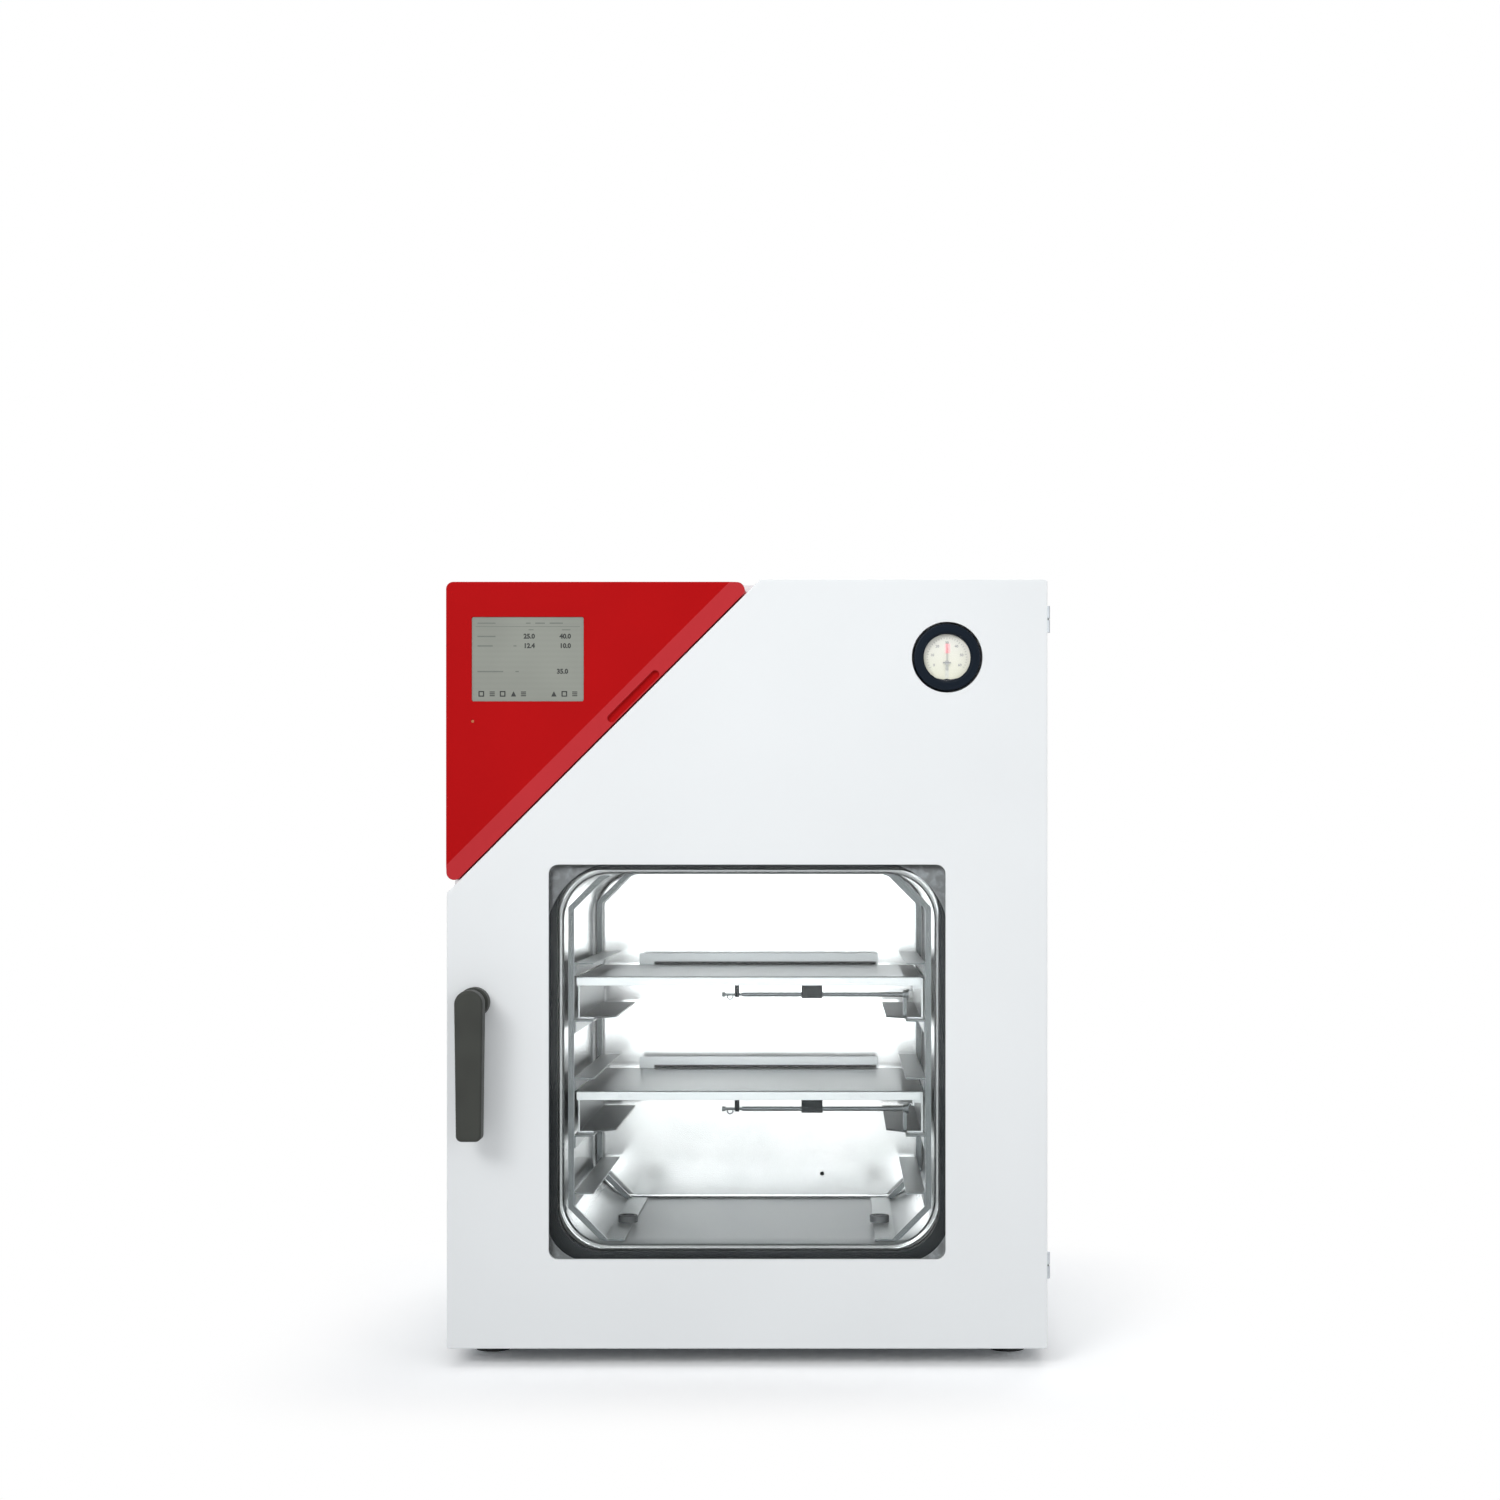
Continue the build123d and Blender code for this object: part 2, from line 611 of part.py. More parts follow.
def rear_panel():
    half = HALF_WIDTH - SHEET - SHEET_GAP
    high = TOP_Z - SHEET - SHEET_GAP
    outline = rounded(2 * half, high - BASE_Z, CORNER_RADIUS, (BASE_Z + high) / 2)
    panel = along_y(outline, HOUSING_REAR - SHEET, HOUSING_REAR)
    cuts = [rod_y(x, z, REAR_SCREW_RADIUS + SEAM, HOUSING_REAR - 2 * SHEET, HOUSING_REAR + 1)
            for x, z in rear_screw_places()]
    for x in (VACUUM_PORT_X, GAS_PORT_X):
        cuts.append(rod_y(x, PORT_Z, PORT_TUBE_RADIUS + PORT_CLEARANCE, HOUSING_REAR - 9, HOUSING_REAR + 1))
    for x, z, size in ((INLET_X, INLET_Z, INLET_BODY), (SWITCH_X, SWITCH_Z, SWITCH_BODY)):
        hole = Pos(x, z) * Rectangle(size[0] + 2 * SHEET_GAP, size[1] + 2 * SHEET_GAP)
        cuts.append(along_y(hole, HOUSING_REAR - 9, HOUSING_REAR + 1))
    for row in range(VENT_COUNT):
        slot = Pos(VENT_X, VENT_Z - row * VENT_PITCH) * SlotOverall(VENT_LENGTH, VENT_WIDTH)
        cuts.append(along_y(slot, HOUSING_REAR - 9, HOUSING_REAR + 1))
    return panel - cuts


def rear_screw_set():
    screws = []
    for x, z in rear_screw_places():
        head = rod_y(x, z, REAR_SCREW_HEAD_RADIUS, HOUSING_REAR, HOUSING_REAR + REAR_SCREW_HEAD)
        slot = block(x - 3, x + 3, HOUSING_REAR + 1, HOUSING_REAR + 3, z - 0.5, z + 0.5)
        cross = block(x - 0.5, x + 0.5, HOUSING_REAR + 1, HOUSING_REAR + 3, z - 3, z + 3)
        shank = rod_y(x, z, REAR_SCREW_RADIUS, HOUSING_REAR - REAR_SCREW_LENGTH, HOUSING_REAR)
        screws.append(head - slot - cross + shank)
    return screws


def housing_screws():
    return together(foot_screw_set() + rear_screw_set())


# Chamber

def flange_stud_places():
    """Two studs on each side of the flange, outside the frame's opening."""
    line = CHAMBER / 2 + FLANGE_WIDTH - NUT_OFFSET + 5
    places = []
    for offset in (-NUT_SPREAD, NUT_SPREAD):
        places += [(offset, CHAMBER_CENTRE_Z - line), (offset, CHAMBER_CENTRE_Z + line)]
        places += [(-line, CHAMBER_CENTRE_Z + offset), (line, CHAMBER_CENTRE_Z + offset)]
    return places


def inner_chamber():
    outer = along_y(rounded(CHAMBER_OUTER, CHAMBER_OUTER, CHAMBER_RADIUS + CHAMBER_WALL, CHAMBER_CENTRE_Z),
                    FRAME_REAR, CHAMBER_BACK)
    outer = fillet(outer.faces().sort_by(Axis.Y)[-1].edges(), CHAMBER_REAR_FILLET + CHAMBER_WALL)
    size = CHAMBER + 2 * FLANGE_WIDTH
    flange = along_y(rounded(size, size, FLANGE_CORNER, CHAMBER_CENTRE_Z), FRAME_REAR, FLANGE_REAR)
    inner = along_y(rounded(CHAMBER, CHAMBER, CHAMBER_RADIUS, CHAMBER_CENTRE_Z), FRAME_REAR, CHAMBER_REAR)
    inner = fillet(inner.faces().sort_by(Axis.Y)[-1].edges(), CHAMBER_REAR_FILLET)
    shell = outer + flange - inner
    mouth = shell.faces().sort_by(Axis.Y)[0].inner_wires()[0].edges()
    shell = fillet(mouth, FLANGE_LIP_RADIUS)
    shell = shell - rod_y(SUCTION_X, SUCTION_Z, SUCTION_HOLE_RADIUS, CHAMBER_REAR - 1, CHAMBER_BACK + 1)
    holes = [rod_y(x, z, STUD_RADIUS + SEAM, FRAME_REAR - 1, FLANGE_REAR + 1)
             for x, z in flange_stud_places()]
    return shell - holes


def chamber_gasket():
    ring = rounded(GASKET_OUTER, GASKET_OUTER, GASKET_RADIUS, CHAMBER_CENTRE_Z)
    ring = ring - rounded(GASKET_INNER, GASKET_INNER, GASKET_RADIUS - (GASKET_OUTER - GASKET_INNER) / 2,
                          CHAMBER_CENTRE_Z)
    return along_y(ring, FRAME_REAR - GASKET_HEIGHT, FRAME_REAR)


def flange_nuts():
    """Studs that pass through the frame and the flange, with their nuts behind it."""
    pieces = []
    for x, z in flange_stud_places():
        stud = rod_y(x, z, STUD_RADIUS, FRAME_FRONT, FLANGE_REAR + STUD_LENGTH)
        pieces.append(stud + hex_y(x, z, NUT_ACROSS, FLANGE_REAR, FLANGE_REAR + NUT_HEIGHT))
    return together(pieces)


def saddle_y():
    return CHAMBER_REAR - SADDLE_INSET


def chamber_saddle():
    """A Z-shaped sheet under the chamber's rear end, standing on the base pan."""
    bottom = BASE_Z + SHEET
    top = CHAMBER_CENTRE_Z - CHAMBER_OUTER / 2
    y = saddle_y()
    half = SADDLE_WIDTH / 2
    web = block(-half, half, y, y + SADDLE_THICKNESS, bottom, top)
    foot = block(-half, half, y - SADDLE_FOOT, y, bottom, bottom + SADDLE_THICKNESS)
    seat = block(-half, half, y, y + SADDLE_FOOT - CHAMBER_REAR_FILLET, top - SADDLE_THICKNESS, top)
    return web + foot + seat


def heater_mats():
    """Four flat mats on the chamber's left, right, top and bottom."""
    y0 = FLANGE_REAR + 10
    face = CHAMBER_OUTER / 2
    half = MAT_WIDTH / 2
    low = CHAMBER_CENTRE_Z - half
    high = CHAMBER_CENTRE_Z + half
    mats = [block(side * face, side * (face + MAT_THICKNESS), y0, y0 + MAT_LENGTH, low, high)
            for side in (-1, 1)]
    above = CHAMBER_CENTRE_Z + face
    below = CHAMBER_CENTRE_Z - face
    mats.append(block(-half, half, y0, y0 + MAT_LENGTH, above, above + MAT_THICKNESS))
    bottom = block(-half, half, y0, y0 + MAT_LENGTH, below - MAT_THICKNESS, below)
    y = saddle_y()
    mats.append(bottom - block(-half - 1, half + 1, y - SEAM, y + SADDLE_FOOT, BASE_Z, CHAMBER_CENTRE_Z))
    return together(mats)


def temperature_sensor():
    """A rod-shaped sensor in a clamp block on the chamber's top, behind the heater mat."""
    z = CHAMBER_CENTRE_Z + CHAMBER_OUTER / 2
    y = FLANGE_REAR + 10 + MAT_LENGTH + SENSOR_BLOCK / 2 + 2
    half = SENSOR_BLOCK / 2
    holder = block(-SENSOR_BLOCK, SENSOR_BLOCK, y - half, y + half, z, z + SENSOR_BLOCK)
    probe = rod_x(y, z + SENSOR_BLOCK / 2, SENSOR_RADIUS, -SENSOR_LENGTH / 2, SENSOR_LENGTH / 2)
    return holder + probe


def insulation_wrap():
    grow = 2 * (MAT_THICKNESS + INSULATION_CLEARANCE)
    front = FLANGE_REAR + INSULATION_CLEARANCE
    rear = CHAMBER_BACK + INSULATION_REAR
    body = block(-INSULATION_SIDE, INSULATION_SIDE, front, rear, BASE_Z + SHEET + SHEET_GAP, INSULATION_TOP)
    around = rounded(CHAMBER_OUTER + grow, CHAMBER_OUTER + grow, CHAMBER_RADIUS + CHAMBER_WALL + grow / 2,
                     CHAMBER_CENTRE_Z)
    room = along_y(around, front - 1, CHAMBER_BACK + INSULATION_CLEARANCE)
    body = body - room
    reach = SADDLE_WIDTH / 2 + INSULATION_CLEARANCE
    bottom = BASE_Z
    y = saddle_y()
    body = body - block(-reach, reach, y - INSULATION_CLEARANCE, y + SADDLE_THICKNESS + INSULATION_CLEARANCE,
                        bottom, CHAMBER_CENTRE_Z)
    body = body - block(-reach, reach, y - SADDLE_FOOT - INSULATION_CLEARANCE, y, bottom,
                        bottom + SHEET + SADDLE_THICKNESS + INSULATION_CLEARANCE)
    seat_low = CHAMBER_CENTRE_Z - CHAMBER_OUTER / 2 - SADDLE_THICKNESS - INSULATION_CLEARANCE
    body = body - block(-reach, reach, y, y + SADDLE_FOOT, seat_low, CHAMBER_CENTRE_Z)
    sensor_y = FLANGE_REAR + 10 + MAT_LENGTH + 2
    sensor_z = CHAMBER_CENTRE_Z + CHAMBER_OUTER / 2 + SENSOR_BLOCK + 2
    reach_x = SENSOR_LENGTH / 2 + 2
    body = body - block(-reach_x, reach_x, sensor_y - 2, sensor_y + SENSOR_BLOCK + 2, CHAMBER_CENTRE_Z, sensor_z)
    for x, z in flange_stud_places():
        body = body - rod_y(x, z, NUT_ACROSS / 2 + 3, front - 1, FLANGE_REAR + STUD_LENGTH + 2)
    body = body - rod_y(SUCTION_X, SUCTION_Z, PIPE_RADIUS + 4, CHAMBER_REAR, rear + 1)
    for x, y in foot_places():
        screw_top = FOOT_COUNTERBORE_DEPTH + FOOT_SCREW_LENGTH
        body = body - rod_z(x, y, FOOT_SCREW_RADIUS + 3, bottom, screw_top + 3)
    keeper = keeper_half() + INSULATION_CLEARANCE
    return body - block(-INSULATION_SIDE - 1, HANDLE_X + keeper, front - 1, FRAME_REAR + KEEPER_DEPTH + 1,
                        HANDLE_Z - keeper, HANDLE_Z + keeper)


# Electronics compartment

def compartment_floor():
    plate = block(-PAN_HALF, PAN_HALF, PAN_FRONT, PAN_REAR, FLOOR_Z, FLOOR_Z + SHEET)
    for side in (-1, 1):
        plate = plate + block(side * (PAN_HALF - SHEET), side * PAN_HALF, PAN_FRONT, PAN_REAR,
                              FLOOR_Z - FLOOR_FLANGE, FLOOR_Z)
    return plate - rod_z(SUCTION_X, MANIFOLD_MIDDLE_Y, PIPE_RADIUS + 2, FLOOR_Z - 1, FLOOR_Z + SHEET + 1)


def control_board():
    z = COMPARTMENT_FLOOR_TOP + STANDOFF_HEIGHT
    top = z + BOARD_THICKNESS
    half_x = BOARD_LENGTH / 2
    half_y = BOARD_DEPTH / 2
    board = block(BOARD_X - half_x, BOARD_X + half_x, BOARD_Y - half_y, BOARD_Y + half_y, z, top)
    for sx in (-1, 1):
        for sy in (-1, 1):
            board = board + rod_z(BOARD_X + sx * (half_x - STANDOFF_INSET), BOARD_Y + sy * (half_y - STANDOFF_INSET),
                                  STANDOFF_RADIUS, COMPARTMENT_FLOOR_TOP, z)
    left = BOARD_X - half_x + TRANSFORMER_FROM_END
    half = TRANSFORMER_DEPTH / 2
    board = board + block(left, left + TRANSFORMER_LENGTH, BOARD_Y - half, BOARD_Y + half, top,
                          top + TRANSFORMER_HEIGHT)
    front = BOARD_Y - half_y + RELAY_FROM_EDGE
    for step in range(RELAYS):
        x = BOARD_X + RELAY_START + step * RELAY_PITCH
        board = board + block(x, x + RELAY_WIDTH, front, front + RELAY_DEPTH, top, top + RELAY_HEIGHT)
    left = BOARD_X + CHIP_FROM_CENTRE
    return board + block(left, left + CHIP_SIZE, BOARD_Y, BOARD_Y + CHIP_SIZE, top, top + CHIP_HEIGHT)


def power_supply():
    width, depth, height = SUPPLY_SIZE
    z = COMPARTMENT_FLOOR_TOP
    body = block(SUPPLY_X - width / 2, SUPPLY_X + width / 2, SUPPLY_Y - depth / 2, SUPPLY_Y + depth / 2,
                 z, z + height)
    for row in range(8):
        y = SUPPLY_Y - 42 + row * 12
        body = body - block(SUPPLY_X - 30, SUPPLY_X + 30, y, y + 4, z + height - 1, z + height + 1)
    return body


def vacuum_manifold():
    body = block(MANIFOLD_LEFT, MANIFOLD_RIGHT, MANIFOLD_FRONT, MANIFOLD_REAR, MANIFOLD_BOTTOM, MANIFOLD_TOP)
    body = body - rod_x(MANIFOLD_MIDDLE_Y, PORT_Z, 4, MANIFOLD_LEFT + 8, MANIFOLD_RIGHT - 8)
    body = body - rod_z(SUCTION_X, MANIFOLD_MIDDLE_Y, PIPE_BORE_RADIUS, MANIFOLD_BOTTOM - 1, PORT_Z)
    return body - rod_y(GAUGE_X, GAUGE_Z, PIPE_BORE_RADIUS, MANIFOLD_FRONT - 1, MANIFOLD_MIDDLE_Y)


def solenoid_valve(x):
    """A solenoid valve on top of the manifold: base, coil and core tube."""
    half = VALVE_SIZE / 2
    y = MANIFOLD_MIDDLE_Y
    top = MANIFOLD_TOP + VALVE_HEIGHT
    base = block(x - half, x + half, y - half, y + half, MANIFOLD_TOP, MANIFOLD_TOP + 8)
    small = half - 3
    coil = block(x - small, x + small, y - small, y + small, MANIFOLD_TOP + 8, top)
    return base + coil + rod_z(x, y, 5, top, top + 6)


def solenoid_valves():
    """The vacuum valve and the air inlet valve."""
    return together([solenoid_valve(VACUUM_PORT_X), solenoid_valve(GAS_PORT_X)])


def port_body(x):
    """A tube from the manifold through the rear panel, with a collar on each side of the panel."""
    tube = rod_y(x, PORT_Z, PORT_TUBE_RADIUS, MANIFOLD_REAR, HOUSING_REAR + PORT_COLLAR_THICKNESS)
    panel = HOUSING_REAR - SHEET
    inside = rod_y(x, PORT_Z, PORT_COLLAR_RADIUS, panel - PORT_COLLAR_THICKNESS, panel)
    outside = rod_y(x, PORT_Z, PORT_COLLAR_RADIUS, HOUSING_REAR, HOUSING_REAR + PORT_COLLAR_THICKNESS)
    return tube + inside + outside


def vacuum_port():
    rear = HOUSING_REAR + PORT_REACH
    neck = rod_y(VACUUM_PORT_X, PORT_Z, PORT_TUBE_RADIUS, HOUSING_REAR, rear)
    rim = rod_y(VACUUM_PORT_X, PORT_Z, PORT_FLANGE_RADIUS, rear - PORT_FLANGE_THICKNESS, rear)
    body = port_body(VACUUM_PORT_X) + neck + rim
    body = body - rod_y(VACUUM_PORT_X, PORT_Z, PORT_BORE_RADIUS, rear - PORT_BORE_DEPTH, rear + 1)
    return body - rod_y(VACUUM_PORT_X, PORT_Z, GAS_BORE_RADIUS, MANIFOLD_REAR - 1, rear)


def gas_inlet_port():
    start = HOUSING_REAR + PORT_COLLAR_THICKNESS
    barb = rod_y(GAS_PORT_X, PORT_Z, GAS_BARB_RADIUS, start, start + GAS_BARB_LENGTH)
    body = port_body(GAS_PORT_X) + barb
    return body - rod_y(GAS_PORT_X, PORT_Z, GAS_BORE_RADIUS, MANIFOLD_REAR - 1, start + GAS_BARB_LENGTH + 1)


def suction_pipe():
    """From the chamber's rear wall back, then up through the compartment floor to the manifold."""
    path = FilletPolyline((SUCTION_X, CHAMBER_BACK, SUCTION_Z), (SUCTION_X, MANIFOLD_MIDDLE_Y, SUCTION_Z),
                          (SUCTION_X, MANIFOLD_MIDDLE_Y, MANIFOLD_BOTTOM), radius=PIPE_BEND)
    ring = Circle(PIPE_RADIUS) - Circle(PIPE_BORE_RADIUS)
    start = Plane(origin=(SUCTION_X, CHAMBER_BACK, SUCTION_Z), x_dir=(1, 0, 0), z_dir=(0, 1, 0))
    return sweep(start * ring, path)


def vacuum_pipes():
    return together([suction_pipe(), gauge_pipe()])


def gauge_pipe():
    start = GAUGE_CASE_REAR + GAUGE_STEM_LENGTH
    return rod_y(GAUGE_X, GAUGE_Z, PIPE_RADIUS, start, MANIFOLD_FRONT) - rod_y(
        GAUGE_X, GAUGE_Z, PIPE_BORE_RADIUS, start - 1, MANIFOLD_FRONT + 1)


def mains_inlet():
    rear = HOUSING_REAR
    body = along_y(Pos(INLET_X, INLET_Z) * Rectangle(*INLET_BODY), rear - INLET_DEPTH, rear)
    rim = along_y(rounded(INLET_FLANGE[0], INLET_FLANGE[1], 4, INLET_Z, INLET_X), rear, rear + INLET_RIM)
    shroud = along_y(rounded(INLET_BODY[0], INLET_BODY[1], 2, INLET_Z, INLET_X), rear, rear + INLET_RIM + 1.5)
    recess = rounded(INLET_RECESS[0], INLET_RECESS[1], 2, INLET_Z, INLET_X)
    inlet = body + rim + shroud - along_y(recess, rear + INLET_RIM - INLET_RECESS_DEPTH, rear + INLET_RIM + 3)
    floor = rear + INLET_RIM - INLET_RECESS_DEPTH
    for dx, dz in ((-7, -2), (7, -2), (0, 2)):
        x = INLET_X + dx
        z = INLET_Z + dz
        inlet = inlet + block(x - 1, x + 1, floor, floor + PIN_LENGTH, z - 2, z + 2)
    return inlet


def switch_frame():
    rear = HOUSING_REAR
    body = along_y(Pos(SWITCH_X, SWITCH_Z) * Rectangle(*SWITCH_BODY), rear - SWITCH_DEPTH, rear)
    rim = along_y(rounded(SWITCH_FRAME[0], SWITCH_FRAME[1], 3, SWITCH_Z, SWITCH_X), rear, rear + INLET_RIM)
    pocket = Pos(SWITCH_X, SWITCH_Z) * Rectangle(*SWITCH_POCKET)
    reach = SWITCH_POCKET[0] / 2 + ROCKER_PIN_LENGTH + SCREEN_GAP
    bearing = rod_x(rocker_axis_y(), SWITCH_Z, ROCKER_PIN_RADIUS + ROCKER_PIN_CLEARANCE,
                    SWITCH_X - reach, SWITCH_X + reach)
    return body + rim - along_y(pocket, rear - SWITCH_DEPTH + SHEET, rear + INLET_RIM + 1) - bearing


def rocker_axis_y():
    return HOUSING_REAR + INLET_RIM - ROCKER_RADIUS


def rocker_middle():
    """The rocker half way between its two ends, as a prism along X with its pivot pins."""
    half_width = SWITCH_POCKET[0] / 2 - ROCKER_CLEARANCE
    high = SWITCH_POCKET[1] / 2 - ROCKER_RADIUS * math.sin(math.radians(ROCKER_TILT)) - ROCKER_CLEARANCE
    y = rocker_axis_y()
    face = y + ROCKER_RADIUS
    outline = [(y - 4, SWITCH_Z - high + 1), (face + 1, SWITCH_Z - high), (face, SWITCH_Z),
               (face + 1, SWITCH_Z + high), (y - 4, SWITCH_Z + high - 1)]
    pin = half_width + ROCKER_CLEARANCE + ROCKER_PIN_LENGTH
    return along_x(polygon(outline), SWITCH_X - half_width, SWITCH_X + half_width) + rod_x(
        y, SWITCH_Z, ROCKER_PIN_RADIUS, SWITCH_X - pin, SWITCH_X + pin)


def switch_rocker():
    """Its lower half stands proud at rest and goes in when it is switched on."""
    return rocker_middle().rotate(Axis((0, rocker_axis_y(), SWITCH_Z), (1, 0, 0)), ROCKER_TILT)


# Control cover, display and status light

def cover_outline(inset=0.0):
    """The right triangle of the cover, drawn in by an inset on all three sides, with rounded corners."""
    left = COVER_LEFT + inset
    top = COVER_TOP - inset
    leg = COVER_LEG - inset * (2 + math.sqrt(2))
    radius = max(COVER_TIP_RADIUS - inset, COVER_TIP_RADIUS / 4)
    face = polygon([(left, top), (left + leg, top), (left, top - leg)])
    return fillet(face.vertices(), radius)


def hypotenuse_frame(distance):
    """A point on the hypotenuse, measured from the lower tip along it, as (x, z)."""
    step = distance / math.sqrt(2)
    return COVER_LEFT + step, COVER_TOP - COVER_LEG + step


def screen_centre():
    return COVER_LEFT + SCREEN_LEFT + SCREEN_WIDTH / 2, COVER_TOP - SCREEN_DROP - SCREEN_HEIGHT / 2


def led_place():
    return COVER_LEFT + LED_LEFT, COVER_TOP - LED_DROP


def cover_cavity_front():
    return COVER_FRONT + COVER_WALL + COVER_BEVEL_DROP


def control_panel():
    body = along_y(cover_outline(), COVER_FRONT, FRAME_FRONT)
    # The bevel takes a wedge off the front along the hypotenuse.
    slope = math.sqrt(2) * COVER_LEG
    wedge = polygon([(0.0, 0.0), (COVER_BEVEL_WIDTH, 0.0), (0.0, COVER_BEVEL_DROP)])
    x, z = hypotenuse_frame(slope + 20)
    along = Plane(origin=(x, COVER_FRONT, z), x_dir=(-1, 0, 1), z_dir=(-1, 0, -1))
    body = body - extrude(along * wedge, slope + 40)
    cavity_front = cover_cavity_front()
    body = body - along_y(cover_outline(COVER_WALL), cavity_front, FRAME_FRONT + 1)
    screen_x, screen_z = screen_centre()
    glass = rounded(SCREEN_WIDTH, SCREEN_HEIGHT, 2, screen_z, screen_x)
    lap = 2 * (SCREEN_LAP + SCREEN_GAP)
    pocket = rounded(SCREEN_WIDTH + lap, SCREEN_HEIGHT + lap, 4, screen_z, screen_x)
    body = body - along_y(glass, COVER_FRONT - 1, cavity_front + 1)
    body = body - along_y(pocket, COVER_FRONT + SCREEN_RECESS + 1, cavity_front + 1)
    led_x, led_z = led_place()
    body = body - rod_y(led_x, led_z, LED_RADIUS + SCREEN_GAP, COVER_FRONT - 1, cavity_front + 1)
    # A finger recess in the outer half of the bevel.
    middle = GRIP_FROM_TIP + GRIP_LENGTH / 2
    gx, gz = hypotenuse_frame(middle)
    inward = (GRIP_WIDTH / 2 + GRIP_EDGE) / math.sqrt(2)
    grip = Pos(gx - inward, gz + inward) * Rot(0, 0, 45) * SlotOverall(GRIP_LENGTH, GRIP_WIDTH)
    body = body - along_y(grip, COVER_FRONT - 1, COVER_FRONT + COVER_BEVEL_DROP + GRIP_DEPTH - COVER_WALL / 2)
    # Screw bosses stand on the frame.
    for bx, bz in cover_boss_places():
        body = body + rod_y(bx, bz, BOSS_RADIUS, cavity_front, FRAME_FRONT)
    return body


def cover_boss_places():
    inset = COVER_WALL + BOSS_RADIUS - 0.5
    top = COVER_TOP - inset
    left = COVER_LEFT + inset
    reach = COVER_LEG - BOSS_FROM_TIP
    return [(left + BOSS_CORNER_STEP, top - BOSS_CORNER_STEP), (left + reach, top), (left, top - reach)]


def touch_screen():
    """The front glass with a raised centre that fills the cover's opening."""
    x, z = screen_centre()
    lap_front = COVER_FRONT + SCREEN_RECESS + 1
    plate = rounded(SCREEN_WIDTH + 2 * SCREEN_LAP, SCREEN_HEIGHT + 2 * SCREEN_LAP, 4, z, x)
    raised = rounded(SCREEN_WIDTH - 2 * SCREEN_GAP, SCREEN_HEIGHT - 2 * SCREEN_GAP, 2, z, x)
    glass = along_y(plate, lap_front, lap_front + SCREEN_THICKNESS)
    return glass + along_y(raised, COVER_FRONT + SCREEN_RECESS, lap_front)


def display_board():
    """The display's board, held on four spacers behind the glass."""
    x, z = screen_centre()
    half_x = SCREEN_WIDTH / 2 + SCREEN_LAP
    half_z = SCREEN_HEIGHT / 2 + SCREEN_LAP
    glass_rear = COVER_FRONT + SCREEN_RECESS + 1 + SCREEN_THICKNESS
    front = glass_rear + DISPLAY_BOARD_SPACE
    board = block(x - half_x, x + half_x, front, front + DISPLAY_BOARD_THICKNESS, z - half_z, z + half_z)
    board = board + block(x - half_x + 8, x + half_x - 8, glass_rear, front, z - half_z + 6, z + half_z - 6)
    rear = front + DISPLAY_BOARD_THICKNESS
    return board + block(x - 15, x + 15, rear, rear + 6, z - 30, z - 22)


def status_led():
    x, z = led_place()
    seat = cover_cavity_front()
    body = rod_y(x, z, LED_RADIUS, COVER_FRONT + 0.2, seat)
    return body + rod_y(x, z, LED_RADIUS + 1.5, seat, seat + 2)


# Gauge

def gauge_case():
    bezel = rod_y(GAUGE_X, GAUGE_Z, GAUGE_BEZEL_RADIUS, GAUGE_FRONT, GAUGE_FRONT + GAUGE_BEZEL_THICKNESS)
    bezel = fillet(bezel.faces().sort_by(Axis.Y)[0].edges(), 1.6)
    body = rod_y(GAUGE_X, GAUGE_Z, GAUGE_CASE_RADIUS, GAUGE_FRONT + GAUGE_BEZEL_THICKNESS, GAUGE_CASE_REAR)
    case = bezel + body
    dial_front = GAUGE_FRONT + GAUGE_DIAL_DEPTH
    case = case - cone_y(GAUGE_X, GAUGE_Z, GAUGE_WINDOW_RADIUS + 2.5, GAUGE_WINDOW_RADIUS,
                         GAUGE_FRONT - 0.01, GAUGE_FRONT + GAUGE_LENS_DEPTH)
    case = case - rod_y(GAUGE_X, GAUGE_Z, GAUGE_WINDOW_RADIUS, GAUGE_FRONT, dial_front)
    case = case - rod_y(GAUGE_X, GAUGE_Z, GAUGE_CASE_RADIUS - GAUGE_WALL, dial_front,
                        GAUGE_CASE_REAR - GAUGE_WALL)
    case = case - rod_y(GAUGE_X, GAUGE_Z, GAUGE_WINDOW_RADIUS + 1, GAUGE_FRONT + GAUGE_LENS_DEPTH,
                        GAUGE_FRONT + GAUGE_LENS_DEPTH + GAUGE_LENS_THICKNESS)
    stem = rod_y(GAUGE_X, GAUGE_Z, GAUGE_STEM_RADIUS, GAUGE_CASE_REAR, GAUGE_CASE_REAR + GAUGE_STEM_LENGTH)
    case = case + stem - rod_y(GAUGE_X, GAUGE_Z, PIPE_BORE_RADIUS, GAUGE_CASE_REAR + 2,
                               GAUGE_CASE_REAR + GAUGE_STEM_LENGTH + 1)
    return case


def gauge_dial():
    front = GAUGE_FRONT + GAUGE_DIAL_DEPTH
    z = GAUGE_Z - POINTER_DROP
    disc = rod_y(GAUGE_X, GAUGE_Z, GAUGE_CASE_RADIUS - GAUGE_WALL, front, front + GAUGE_DIAL_THICKNESS)
    movement = block(GAUGE_X - 14, GAUGE_X + 14, front + GAUGE_DIAL_THICKNESS, front + 16, z - 12, z + 12)
    rear_post = rod_y(GAUGE_X, GAUGE_Z, 8, front + 16, GAUGE_CASE_REAR - GAUGE_WALL)
    bore = rod_y(GAUGE_X, z, POINTER_STAFF_RADIUS + POINTER_STAFF_CLEARANCE, front - 1, front + 6)
    return disc + movement + rear_post - bore


